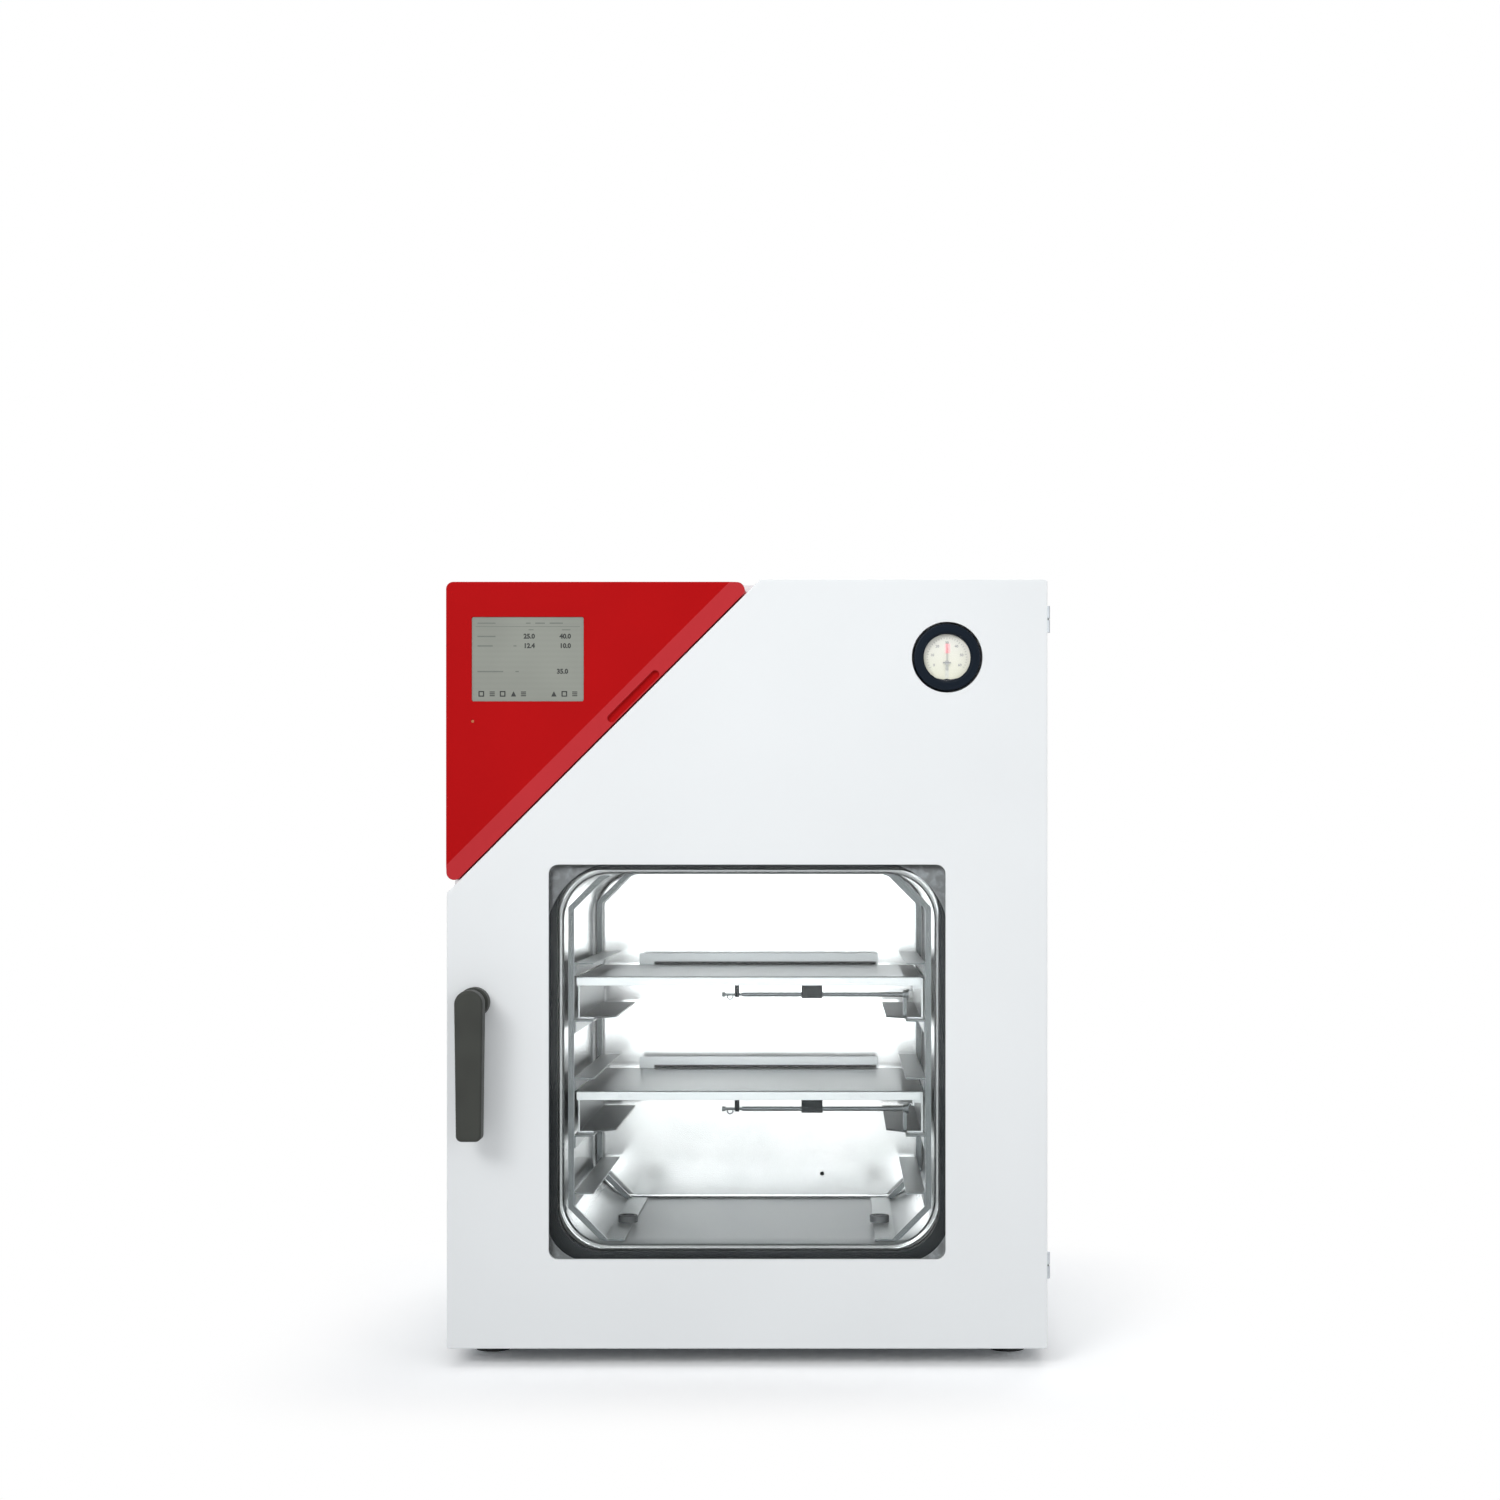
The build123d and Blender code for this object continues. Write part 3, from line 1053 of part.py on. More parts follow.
def gauge_pointer():
    """A thin needle with a tail, a hub and a staff in the dial's bearing. It points straight up at rest."""
    z = GAUGE_Z - POINTER_DROP
    dial_front = GAUGE_FRONT + GAUGE_DIAL_DEPTH
    rear = dial_front - 1.0
    front = rear - POINTER_THICKNESS
    needle = [(GAUGE_X - POINTER_WIDTH / 2, z), (GAUGE_X - 0.2, z + POINTER_LENGTH),
              (GAUGE_X + 0.2, z + POINTER_LENGTH), (GAUGE_X + POINTER_WIDTH / 2, z),
              (GAUGE_X + POINTER_WIDTH, z - POINTER_TAIL), (GAUGE_X - POINTER_WIDTH, z - POINTER_TAIL)]
    pointer = along_y(polygon(needle), front, rear)
    pointer = pointer + rod_y(GAUGE_X, z, POINTER_HUB_RADIUS, front - 0.4, rear)
    return pointer + rod_y(GAUGE_X, z, POINTER_STAFF_RADIUS, rear, dial_front + 5)


def gauge_lens():
    front = GAUGE_FRONT + GAUGE_LENS_DEPTH
    return rod_y(GAUGE_X, GAUGE_Z, GAUGE_WINDOW_RADIUS + 1, front, front + GAUGE_LENS_THICKNESS)


# Door

def door_outline(inset=0.0):
    """The door's outline in X and Z with its upper left corner cut along the control cover."""
    left = -HALF_WIDTH + inset
    right = HALF_WIDTH - inset
    low = BASE_Z + inset
    high = TOP_Z - inset
    cut = (COVER_TOP - COVER_LEG) - COVER_LEFT - (DOOR_CUT_GAP + inset) * math.sqrt(2)
    face = polygon([(left, low), (right, low), (right, high), (high - cut, high), (left, left + cut)])
    return fillet(face.vertices(), max(CORNER_RADIUS - inset, 0.8))


def window_face(grow=0.0):
    return rounded(WINDOW_WIDTH + 2 * grow, WINDOW_HEIGHT + 2 * grow, WINDOW_RADIUS + grow, WINDOW_CENTRE_Z)


def door_skin():
    """The front sheet with its edges folded back on all sides, a window opening and a gauge port."""
    rear = DOOR_REAR - SHEET
    skin = along_y(door_outline() - door_outline(SHEET), DOOR_FRONT, rear)
    skin = skin + along_y(door_outline(SHEET) - window_face(), DOOR_FRONT, DOOR_FRONT + SHEET)
    skin = skin + along_y(window_face(SHEET) - window_face(), DOOR_FRONT, DOOR_FRONT + OUTER_PANE_GAP)
    skin = fillet(skin.faces().sort_by(Axis.Y)[0].outer_wire().edges(), SHEET * 0.7)
    skin = skin - rod_y(GAUGE_X, GAUGE_Z, GAUGE_BEZEL_RADIUS + PORT_HOLE_GAP, DOOR_FRONT - 1, DOOR_FRONT + 9)
    return skin - rod_y(HANDLE_X, HANDLE_Z, SPINDLE_RADIUS + 4, DOOR_FRONT - 1, DOOR_FRONT + 9)


def door_inner_panel():
    """The rear sheet of the door, with openings for the pane, the gauge collar and the handle spindle."""
    rear = DOOR_REAR
    face = door_outline()
    size = CARRIER_OUTER + 2 * PANEL_OPENING_GAP
    face = face - rounded(size, size, CARRIER_RADIUS + PANEL_OPENING_GAP, CHAMBER_CENTRE_Z)
    face = face - Pos(GAUGE_X, GAUGE_Z) * Circle(GAUGE_BEZEL_RADIUS + PORT_FUNNEL)
    face = face - Pos(HANDLE_X, HANDLE_Z) * Circle(SPINDLE_RADIUS + 4)
    panel = along_y(face, rear - SHEET, rear)
    # A folded edge stiffens the panel around the pane.
    corner = CARRIER_RADIUS + PANEL_OPENING_GAP
    ring = rounded(size + 2 * SHEET, size + 2 * SHEET, corner + SHEET, CHAMBER_CENTRE_Z)
    ring = ring - rounded(size, size, corner, CHAMBER_CENTRE_Z)
    return panel + along_y(ring, rear - SHEET - 4, rear - SHEET)


def gauge_collar():
    """A funnel between the skin's gauge port and the inner panel, wider at the rear so the door can swing."""
    front = DOOR_FRONT + SHEET
    rear = DOOR_REAR - SHEET
    small = GAUGE_BEZEL_RADIUS + PORT_HOLE_GAP
    large = GAUGE_BEZEL_RADIUS + PORT_FUNNEL
    outer = cone_y(GAUGE_X, GAUGE_Z, small + SHEET, large + SHEET, front, rear)
    inner = cone_y(GAUGE_X, GAUGE_Z, small, large, front - 0.01, rear + 0.01)
    return outer - inner


def outer_pane():
    front = DOOR_FRONT + OUTER_PANE_GAP
    return along_y(window_face(DOOR_LAP), front, front + OUTER_PANE_THICKNESS)


def glazing_opening():
    """The strip's inner outline, whose round corners reach into the window, the upper ones further."""
    grow = DOOR_LAP - GLAZING_WIDTH
    face = Pos(0, WINDOW_CENTRE_Z) * Rectangle(WINDOW_WIDTH + 2 * grow, WINDOW_HEIGHT + 2 * grow)
    face = fillet(face.vertices().sort_by(Axis.Y)[2:], GLAZING_UPPER_RADIUS)
    return fillet(face.vertices().sort_by(Axis.Y)[:2], GLAZING_LOWER_RADIUS)


def pane_glazing():
    """A sheet steel strip behind the outer pane that clamps it to the window's folded rim."""
    front = DOOR_FRONT + OUTER_PANE_GAP + OUTER_PANE_THICKNESS
    ring = window_face(DOOR_LAP) - glazing_opening()
    frame = along_y(ring, front, front + SHEET)
    outside = window_face(DOOR_LAP + SHEET) - window_face(DOOR_LAP)
    return frame + along_y(outside, DOOR_FRONT + SHEET, front + SHEET)


def carrier_front_y():
    return PANE_FRONT - CARRIER_FRONT


def ear_places():
    return [(side * EAR_X, CHAMBER_CENTRE_Z + up * EAR_SPREAD) for side in (-1, 1) for up in (-1, 1)]


def pane_carrier():
    front = carrier_front_y()
    rear = DOOR_REAR - CARRIER_SETBACK - SHEET
    outer = rounded(CARRIER_OUTER, CARRIER_OUTER, CARRIER_RADIUS, CHAMBER_CENTRE_Z)
    opening = rounded(CARRIER_OPENING, CARRIER_OPENING, CARRIER_OPENING_RADIUS, CHAMBER_CENTRE_Z)
    seat = rounded(PANE + 2 * SHEET_GAP, PANE + 2 * SHEET_GAP, PANE_RADIUS + SHEET_GAP, CHAMBER_CENTRE_Z)
    body = along_y(outer - opening, front, PANE_FRONT) + along_y(outer - seat, PANE_FRONT, rear)
    for x, z in ear_places():
        inner_x = math.copysign(CARRIER_OUTER / 2 - 1, x)
        outer_x = math.copysign(EAR_X + EAR_SIZE / 2, x)
        ear = block(inner_x, outer_x, front, front + EAR_THICKNESS, z - EAR_SIZE / 2, z + EAR_SIZE / 2)
        body = body + ear
        body = body - rod_y(x, z, BOLT_HOLE_RADIUS, front - 1, front + EAR_THICKNESS + 1)
    return body


def inner_pane():
    return along_y(rounded(PANE, PANE, PANE_RADIUS, CHAMBER_CENTRE_Z), PANE_FRONT, PANE_REAR)


def spring_rails():
    """Two hat-shaped rails behind the skin, beside the window, that carry the bolts and the springs."""
    front = DOOR_FRONT + SHEET
    half = EAR_SPREAD + RAIL_END_MARGIN
    rails = []
    for side in (-1, 1):
        x = side * (EAR_X + 2)
        outer = block(x - RAIL_WIDTH / 2 + 2, x + RAIL_WIDTH / 2, front, front + RAIL_DEPTH,
                      CHAMBER_CENTRE_Z - half, CHAMBER_CENTRE_Z + half)
        if side < 0:
            outer = block(x - RAIL_WIDTH / 2, x + RAIL_WIDTH / 2 - 2, front, front + RAIL_DEPTH,
                          CHAMBER_CENTRE_Z - half, CHAMBER_CENTRE_Z + half)
        hollow = block(x - RAIL_WIDTH / 2 + 4, x + RAIL_WIDTH / 2 - 4, front - 1, front + RAIL_DEPTH - 2,
                       CHAMBER_CENTRE_Z - half - 1, CHAMBER_CENTRE_Z + half + 1)
        rail = outer - hollow
        for up in (-1, 1):
            rail = rail - rod_y(side * EAR_X, CHAMBER_CENTRE_Z + up * EAR_SPREAD, BOLT_RADIUS,
                                front, front + RAIL_DEPTH + 1)
        rails.append(rail)
    return together(rails)


def rail_rear():
    return DOOR_FRONT + SHEET + RAIL_DEPTH


def pane_bolts():
    bolts = []
    head_front = carrier_front_y() + EAR_THICKNESS
    for x, z in ear_places():
        shank = rod_y(x, z, BOLT_RADIUS, rail_rear() - BOLT_ENGAGEMENT, head_front)
        bolts.append(shank + hex_y(x, z, 2 * BOLT_HEAD_RADIUS, head_front, head_front + BOLT_HEAD))
    return together(bolts)


def pane_springs():
    """Coil springs around the bolts, between the rails and the carrier's ears."""
    springs = []
    start = rail_rear()
    height = carrier_front_y() - start - SPRING_WIRE - 2 * SEAT_SLACK
    for x, z in ear_places():
        path = Helix(pitch=height / SPRING_TURNS, height=height, radius=SPRING_RADIUS - SPRING_WIRE / 2,
                     direction=(0, 1, 0), center=(x, start + SPRING_WIRE / 2 + SEAT_SLACK, z))
        wire = Plane(origin=path @ 0, z_dir=path % 0) * Circle(SPRING_WIRE / 2)
        springs.append(sweep(wire, path, is_frenet=True))
    return together(springs)


# Hinges

def hinge_levels():
    return (LOWER_HINGE_Z, UPPER_HINGE_Z)


def hinge_leaf(y0, y1, z0, z1):
    leaf = block(HINGE_AXIS_X - HINGE_LEAF_WIDTH, HINGE_AXIS_X, y0, y1, z0, z1)
    return leaf + rod_z(HINGE_AXIS_X, HINGE_AXIS_Y, BARREL_RADIUS, z0, z1)


def housing_hinge_halves():
    halves = []
    for level in hinge_levels():
        top = level - BARREL_GAP / 2
        half = hinge_leaf(FRAME_FRONT - HINGE_LEAF, FRAME_FRONT, top - BARREL_HEIGHT, top)
        bore = rod_z(HINGE_AXIS_X, HINGE_AXIS_Y, HINGE_PIN_RADIUS, top - BARREL_HEIGHT - 1, top + 1)
        halves.append(half - bore)
    return together(halves)


def door_hinge_halves():
    halves = []
    for level in hinge_levels():
        bottom = level + BARREL_GAP / 2
        half = hinge_leaf(DOOR_REAR, DOOR_REAR + HINGE_LEAF, bottom, bottom + BARREL_HEIGHT)
        bore = rod_z(HINGE_AXIS_X, HINGE_AXIS_Y, HINGE_PIN_RADIUS + HINGE_PIN_CLEARANCE, bottom - 1,
                     bottom + BARREL_HEIGHT - 2)
        halves.append(half - bore)
    return together(halves)


def hinge_pins():
    """Pins that are fixed in the housing halves, with a washer that carries the door."""
    pins = []
    for level in hinge_levels():
        low = level - BARREL_GAP / 2 - BARREL_HEIGHT
        gap = BARREL_GAP / 2
        pin = rod_z(HINGE_AXIS_X, HINGE_AXIS_Y, HINGE_PIN_RADIUS, low, level + gap + BARREL_HEIGHT - 3)
        washer = rod_z(HINGE_AXIS_X, HINGE_AXIS_Y, BARREL_RADIUS - 0.4, level - gap, level + gap - 0.1)
        pins.append(pin + washer)
    return together(pins)


# Handle and latch

def handle_boss():
    """A flanged bush through the door that the spindle turns in."""
    flange = rod_y(HANDLE_X, HANDLE_Z, BOSS_OUTER_RADIUS, DOOR_FRONT - HANDLE_BOSS_LENGTH, DOOR_FRONT)
    flange = fillet(flange.faces().sort_by(Axis.Y)[0].edges(), 1.5)
    sleeve = rod_y(HANDLE_X, HANDLE_Z, SPINDLE_RADIUS + 3.5, DOOR_FRONT, DOOR_REAR)
    bore = rod_y(HANDLE_X, HANDLE_Z, SPINDLE_RADIUS + BOSS_BORE_CLEARANCE, DOOR_FRONT - 30, DOOR_REAR + 1)
    return flange + sleeve - bore


def lever_handle():
    top = HANDLE_Z + LEVER_TOP_RADIUS
    bottom = top - LEVER_LENGTH
    half = LEVER_BOTTOM_WIDTH / 2
    lever_rear = HANDLE_FRONT + LEVER_THICKNESS
    blade = polygon([(HANDLE_X - LEVER_TOP_RADIUS, HANDLE_Z), (HANDLE_X + LEVER_TOP_RADIUS, HANDLE_Z),
                     (HANDLE_X + half, bottom), (HANDLE_X - half, bottom)])
    blade = blade + Pos(HANDLE_X, HANDLE_Z) * Circle(LEVER_TOP_RADIUS)
    corners = blade.vertices().group_by(Axis.Y)[0]
    blade = fillet(corners, LEVER_BOTTOM_RADIUS)
    lever = along_y(blade, HANDLE_FRONT, lever_rear)
    lever = fillet(lever.faces().sort_by(Axis.Y)[0].edges(), LEVER_EDGE)
    # The grip's back is hollowed a little below the neck so fingers fit behind it.
    boss_front = DOOR_FRONT - HANDLE_BOSS_LENGTH
    neck = rod_y(HANDLE_X, HANDLE_Z, LEVER_NECK_RADIUS, lever_rear - 1, boss_front - SHEET_GAP)
    return lever + neck - rod_y(HANDLE_X, HANDLE_Z, SPINDLE_RADIUS, HANDLE_FRONT + 8, boss_front)


def cam_front_y():
    return FRAME_REAR + CAM_BEHIND_FRAME


def handle_spindle():
    spindle = rod_y(HANDLE_X, HANDLE_Z, SPINDLE_RADIUS, HANDLE_FRONT + 8, cam_front_y())
    stub = rod_y(HANDLE_X, HANDLE_Z, SPINDLE_RADIUS - 2, cam_front_y(), cam_front_y() + CAM_THICKNESS + 1)
    return spindle + stub


def latch_cam():
    """The latch arm on the spindle's rear end. It hangs down like the lever."""
    half = CAM_WIDTH / 2
    y = cam_front_y()
    bore = rod_y(HANDLE_X, HANDLE_Z, SPINDLE_RADIUS - 2, y - 1, y + CAM_THICKNESS + 1)
    arm = Pos(HANDLE_X, HANDLE_Z - CAM_REACH / 2 + half / 2) * Rectangle(CAM_WIDTH, CAM_REACH - half)
    arm = arm + Pos(HANDLE_X, HANDLE_Z) * Circle(half + 1.5)
    arm = arm + Pos(HANDLE_X, HANDLE_Z - CAM_REACH + half) * Circle(half)
    return along_y(arm, y, y + CAM_THICKNESS) - bore


def keeper_half():
    return LATCH_HOLE_RADIUS + KEEPER_MARGIN + KEEPER_WALL


def latch_keeper():
    """A cup behind the frame's latch hole, open to the front, with a strike lip beside the cam's way in."""
    side = 4 * keeper_half()
    outer = latch_hole(KEEPER_MARGIN + KEEPER_WALL) & Pos(0, HANDLE_Z) * Rectangle(2 * PAN_HALF, side)
    inner = latch_hole(KEEPER_MARGIN - 1) & Pos(0, HANDLE_Z) * Rectangle(2 * (PAN_HALF - KEEPER_WALL), side)
    front = FRAME_REAR + SHEET + SHEET_GAP
    body = along_y(outer, front, FRAME_REAR + KEEPER_DEPTH)
    body = body - along_y(inner, front - 1, FRAME_REAR + KEEPER_DEPTH - 2)
    rim = outer - latch_hole()
    beside_lip = -HALF_WIDTH + SHEET + RETURN_FLANGE + SHEET_GAP
    kept = Pos(beside_lip + side / 2, HANDLE_Z) * Rectangle(side, side)
    return body + along_y(rim & kept, FRAME_REAR, front)


# Racks

def rack_hoop(y):
    """One hoop of the right rack: foot, chamfer, post, chamfer and a short top, as one bent bar."""
    foot_low = FLOOR_OF_CHAMBER + RACK_FOOT_LIFT
    foot_high = foot_low + RACK_FOOT_SHEET
    outer_x = RACK_POST_OUTER
    inner_x = outer_x - RACK_POST_WIDTH
    bend_x = outer_x - RACK_CHAMFER
    low = foot_high
    skew = RACK_POST_WIDTH * (math.sqrt(2) - 1)
    lower = [(RACK_FOOT_INNER, foot_low), (bend_x - 5, foot_low), (bend_x, low),
             (outer_x, low + RACK_CHAMFER)]
    inner_low = [(inner_x, low + RACK_CHAMFER + skew), (inner_x - RACK_CHAMFER - skew, low),
                 (RACK_FOOT_INNER, foot_high)]
    centre = 2 * CHAMBER_CENTRE_Z
    upper = [(outer_x, centre - low - RACK_CHAMFER), (bend_x, centre - low),
             (bend_x - 5, centre - foot_low - 1),
             (bend_x - 12, centre - foot_low - 1), (bend_x - 12, centre - low - 1),
             (inner_x - RACK_CHAMFER - skew + 3, centre - low - 3),
             (inner_x, centre - low - RACK_CHAMFER - skew)]
    face = polygon(lower + upper + inner_low)
    return along_y(face, y - RACK_BAR_DEPTH / 2, y + RACK_BAR_DEPTH / 2)


def right_rack():
    front = RACK_FRONT
    rear = RACK_FRONT + RACK_LENGTH
    inner_x = RACK_POST_OUTER - RACK_POST_WIDTH
    rack = rack_hoop(front) + rack_hoop(rear)
    for level in range(RAIL_LEVELS):
        top = RAIL_FIRST_Z + level * RAIL_PITCH
        flange = block(RAIL_INNER, inner_x, front, rear, top - RAIL_SHEET, top)
        web = block(inner_x - RAIL_SHEET, inner_x, front, rear, top - RAIL_WEB_HEIGHT, top)
        rack = rack + flange + web
    foot_low = FLOOR_OF_CHAMBER + RACK_FOOT_LIFT
    bend = RACK_POST_OUTER - RACK_CHAMFER - 5
    foot = block(RACK_FOOT_INNER, bend, front, rear, foot_low, foot_low + RACK_FOOT_SHEET)
    hole = rod_z(KNOB_X, DOOR_FRONT + KNOB_BACKSET, KNOB_STUD_RADIUS + SEAM, foot_low - 1, foot_low + 4)
    return rack + foot - hole


def right_rack_frame():
    return right_rack()


def left_rack_frame():
    return mirror(right_rack(), Plane.YZ)


def rack_knobs():
    knobs = []
    y = DOOR_FRONT + KNOB_BACKSET
    floor = FLOOR_OF_CHAMBER + RACK_FOOT_LIFT + RACK_FOOT_SHEET
    for side in (-1, 1):
        x = side * KNOB_X
        knob = rod_z(x, y, KNOB_RADIUS, floor, floor + KNOB_HEIGHT)
        knob = fillet(knob.faces().sort_by(Axis.Z)[-1].edges(), 1.5)
        top = floor + KNOB_HEIGHT
        knob = knob - rod_z(x, y, KNOB_RECESS_RADIUS, top - KNOB_RECESS, top + 1)
        stud = rod_z(x, y, KNOB_STUD_RADIUS, FLOOR_OF_CHAMBER + SHEET_GAP, floor)
        knobs.append(knob + stud)
    return together(knobs)


# Shelves and their clamps

def shelf_bottom(level):
    return RAIL_FIRST_Z + level * RAIL_PITCH + SHELF_REST_GAP


def shelf_tray(level):
    """A bent sheet: top plate, front lip with rivets, rear upstand, left side web and left bottom flange."""
    low = shelf_bottom(level)
    top = low + SHELF_HEIGHT
    left = -SHELF_HALF_WIDTH
    right = SHELF_HALF_WIDTH - SHOE_TRAVEL
    front = SHELF_FRONT
    rear = SHELF_FRONT + SHELF_DEPTH
    plate = block(left, right, front, rear, top - SHELF_SHEET, top)
    web = block(left, left + SHELF_SHEET, front + SHOE_BACKSET, rear, low, top)
    flange = block(left, left + SHELF_BOTTOM_FLANGE, front + SHOE_BACKSET, rear, low, low + SHELF_SHEET)
    cut = polygon([(left + SHELF_BOTTOM_FLANGE - SHOE_FRONT_CUT, front + SHOE_BACKSET - 1),
                   (left + SHELF_BOTTOM_FLANGE + 1, front + SHOE_BACKSET - 1),
                   (left + SHELF_BOTTOM_FLANGE + 1, front + SHOE_BACKSET + SHOE_FRONT_CUT)])
    flange = flange - along_z(cut, low - 1, low + SHELF_SHEET + 1)
    lip = block(left, right, front, front + SHELF_SHEET, top - SHELF_LIP, top)
    half = SHELF_HALF_WIDTH - SHELF_UPSTAND_INSET
    upstand = block(-half, half, rear - SHELF_SHEET, rear, top - SHELF_SHEET, top + SHELF_UPSTAND)
    tray = plate + web + flange + lip + upstand
    bends = tray.edges().filter_by(Axis.X).filter_by(lambda edge: abs(edge.center().Y - front) < 0.01
                                                     and abs(edge.center().Z - top) < 0.01)
    tray = fillet(bends, SHELF_SHEET * 0.9)
    rivets = [rod_y(x, top - RIVET_DROP, RIVET_RADIUS, front - RIVET_PROUD, front + SHELF_SHEET)
              for x in RIVET_PLACES]
    return together([tray] + rivets)


def shelf_shoe(level):
    """The right side of the shelf: a channel that slides under the tray and bears on the rail."""
    low = shelf_bottom(level)
    top = low + SHELF_HEIGHT - SHELF_SHEET - SHOE_GAP
    right = SHELF_HALF_WIDTH
    front = SHELF_FRONT + SHOE_BACKSET
    rear = SHELF_FRONT + SHELF_DEPTH - SHELF_SHEET - SHOE_GAP
    web = block(right - SHELF_SHEET, right, front, rear, low, top)
    upper = block(right - 26, right, front, rear, top - SHELF_SHEET, top)
    lower = block(right - SHELF_BOTTOM_FLANGE, right, front, rear, low, low + SHELF_SHEET)
    cut = polygon([(right - SHELF_BOTTOM_FLANGE + SHOE_FRONT_CUT, front - 1),
                   (right - SHELF_BOTTOM_FLANGE - 1, front - 1),
                   (right - SHELF_BOTTOM_FLANGE - 1, front + SHOE_FRONT_CUT)])
    lower = lower - along_z(cut, low - 1, low + SHELF_SHEET + 1)
    # An ear in front of the channel takes the push of the clamp rod's lobe.
    ear_x = CLAMP_ROD_RIGHT + CLAMP_LOBE + CLAMP_CAM_GAP
    rod_z_level = low + SHELF_HEIGHT - CLAMP_ROD_DROP
    rod_y_place = SHELF_FRONT + CLAMP_ROD_BACKSET
    ear = block(ear_x, ear_x + CLAMP_EAR_SHEET, rod_y_place - CLAMP_EAR_HALF,
                rod_y_place + CLAMP_EAR_HALF, rod_z_level + CLAMP_ROD_RADIUS + 1, top)
    ear = ear + block(ear_x, ear_x + CLAMP_EAR_SHEET, rod_y_place - CLAMP_EAR_HALF, front + 1,
                      rod_z_level + CLAMP_CAM_RADIUS + CLAMP_EAR_CLEARANCE, top)
    bridge = block(ear_x, right, front, front + SHELF_SHEET, top - 12, top)
    return web + upper + lower + ear + bridge


def clamp_rod(level):
    """The clamp's rod with its collar and wire ring, hanging lever and pushing lobe, all turning together."""
    y = SHELF_FRONT + CLAMP_ROD_BACKSET
    z = shelf_bottom(level) + SHELF_HEIGHT - CLAMP_ROD_DROP
    rod = rod_x(y, z, CLAMP_ROD_RADIUS, CLAMP_ROD_LEFT + CLAMP_NECK_LENGTH, CLAMP_ROD_RIGHT)
    neck = rod_x(y, z, CLAMP_NECK_RADIUS, CLAMP_ROD_LEFT, CLAMP_ROD_LEFT + CLAMP_NECK_LENGTH)
    collar = rod_x(y, z, CLAMP_COLLAR_RADIUS, CLAMP_ROD_LEFT, CLAMP_ROD_LEFT + CLAMP_COLLAR_WIDTH)
    ring = Rot(90, 0, 0) * Torus(CLAMP_RING_RADIUS, CLAMP_RING_WIRE)
    ring = Pos(CLAMP_ROD_LEFT + CLAMP_RING_FROM_END, y, z - CLAMP_RING_DROP) * ring
    half = CLAMP_LEVER_WIDTH / 2
    length = CLAMP_LEVER_LENGTH
    blade = Pos(y, z - length / 2 + half / 2) * Rectangle(CLAMP_LEVER_WIDTH, length - half)
    blade = blade + Pos(y, z - CLAMP_LEVER_LENGTH + half) * Circle(half) + Pos(y, z) * Circle(half + 1.5)
    thick = CLAMP_LEVER_THICKNESS / 2
    lever = along_x(blade, CLAMP_LEVER_X - thick, CLAMP_LEVER_X + thick)
    disc = rod_x(y, z, CLAMP_CAM_RADIUS, CLAMP_ROD_RIGHT - 2, CLAMP_ROD_RIGHT)
    wide = CLAMP_LOBE_WIDTH / 2
    lobe = block(CLAMP_ROD_RIGHT, CLAMP_ROD_RIGHT + CLAMP_LOBE, y - wide, y + wide,
                 z + CLAMP_ROD_RADIUS + 1, z + CLAMP_CAM_RADIUS)
    return rod + neck + collar + ring + lever + disc + lobe


def clamp_bearings(level):
    """Two bearings under the tray's front: a wide block and a small eye around the rod's neck."""
    y = SHELF_FRONT + CLAMP_ROD_BACKSET
    top = shelf_bottom(level) + SHELF_HEIGHT - SHELF_SHEET
    z = top + SHELF_SHEET - CLAMP_ROD_DROP
    half = CLAMP_BLOCK_DEPTH / 2
    left = CLAMP_BLOCK_LEFT
    right = left + CLAMP_BLOCK_WIDTH
    wide = block(left, right, y - half, y + half, z - CLAMP_BLOCK_BELOW, top)
    wide = wide - rod_x(y, z, CLAMP_ROD_RADIUS + CLAMP_BORE_CLEARANCE, left - 1, right + 1)
    half = CLAMP_EYE_DEPTH / 2
    left = CLAMP_ROD_LEFT + CLAMP_EYE_FROM_END
    right = left + CLAMP_EYE_WIDTH
    eye = block(left, right, y - half, y + half, z - CLAMP_EYE_BELOW, top)
    eye = eye - rod_x(y, z, CLAMP_NECK_RADIUS + CLAMP_BORE_CLEARANCE, left - 1, right + 1)
    return [wide, eye]


def clamp_blocks():
    """The bearings of both shelves."""
    return together([bearing for level in SHELF_LEVELS for bearing in clamp_bearings(level)])


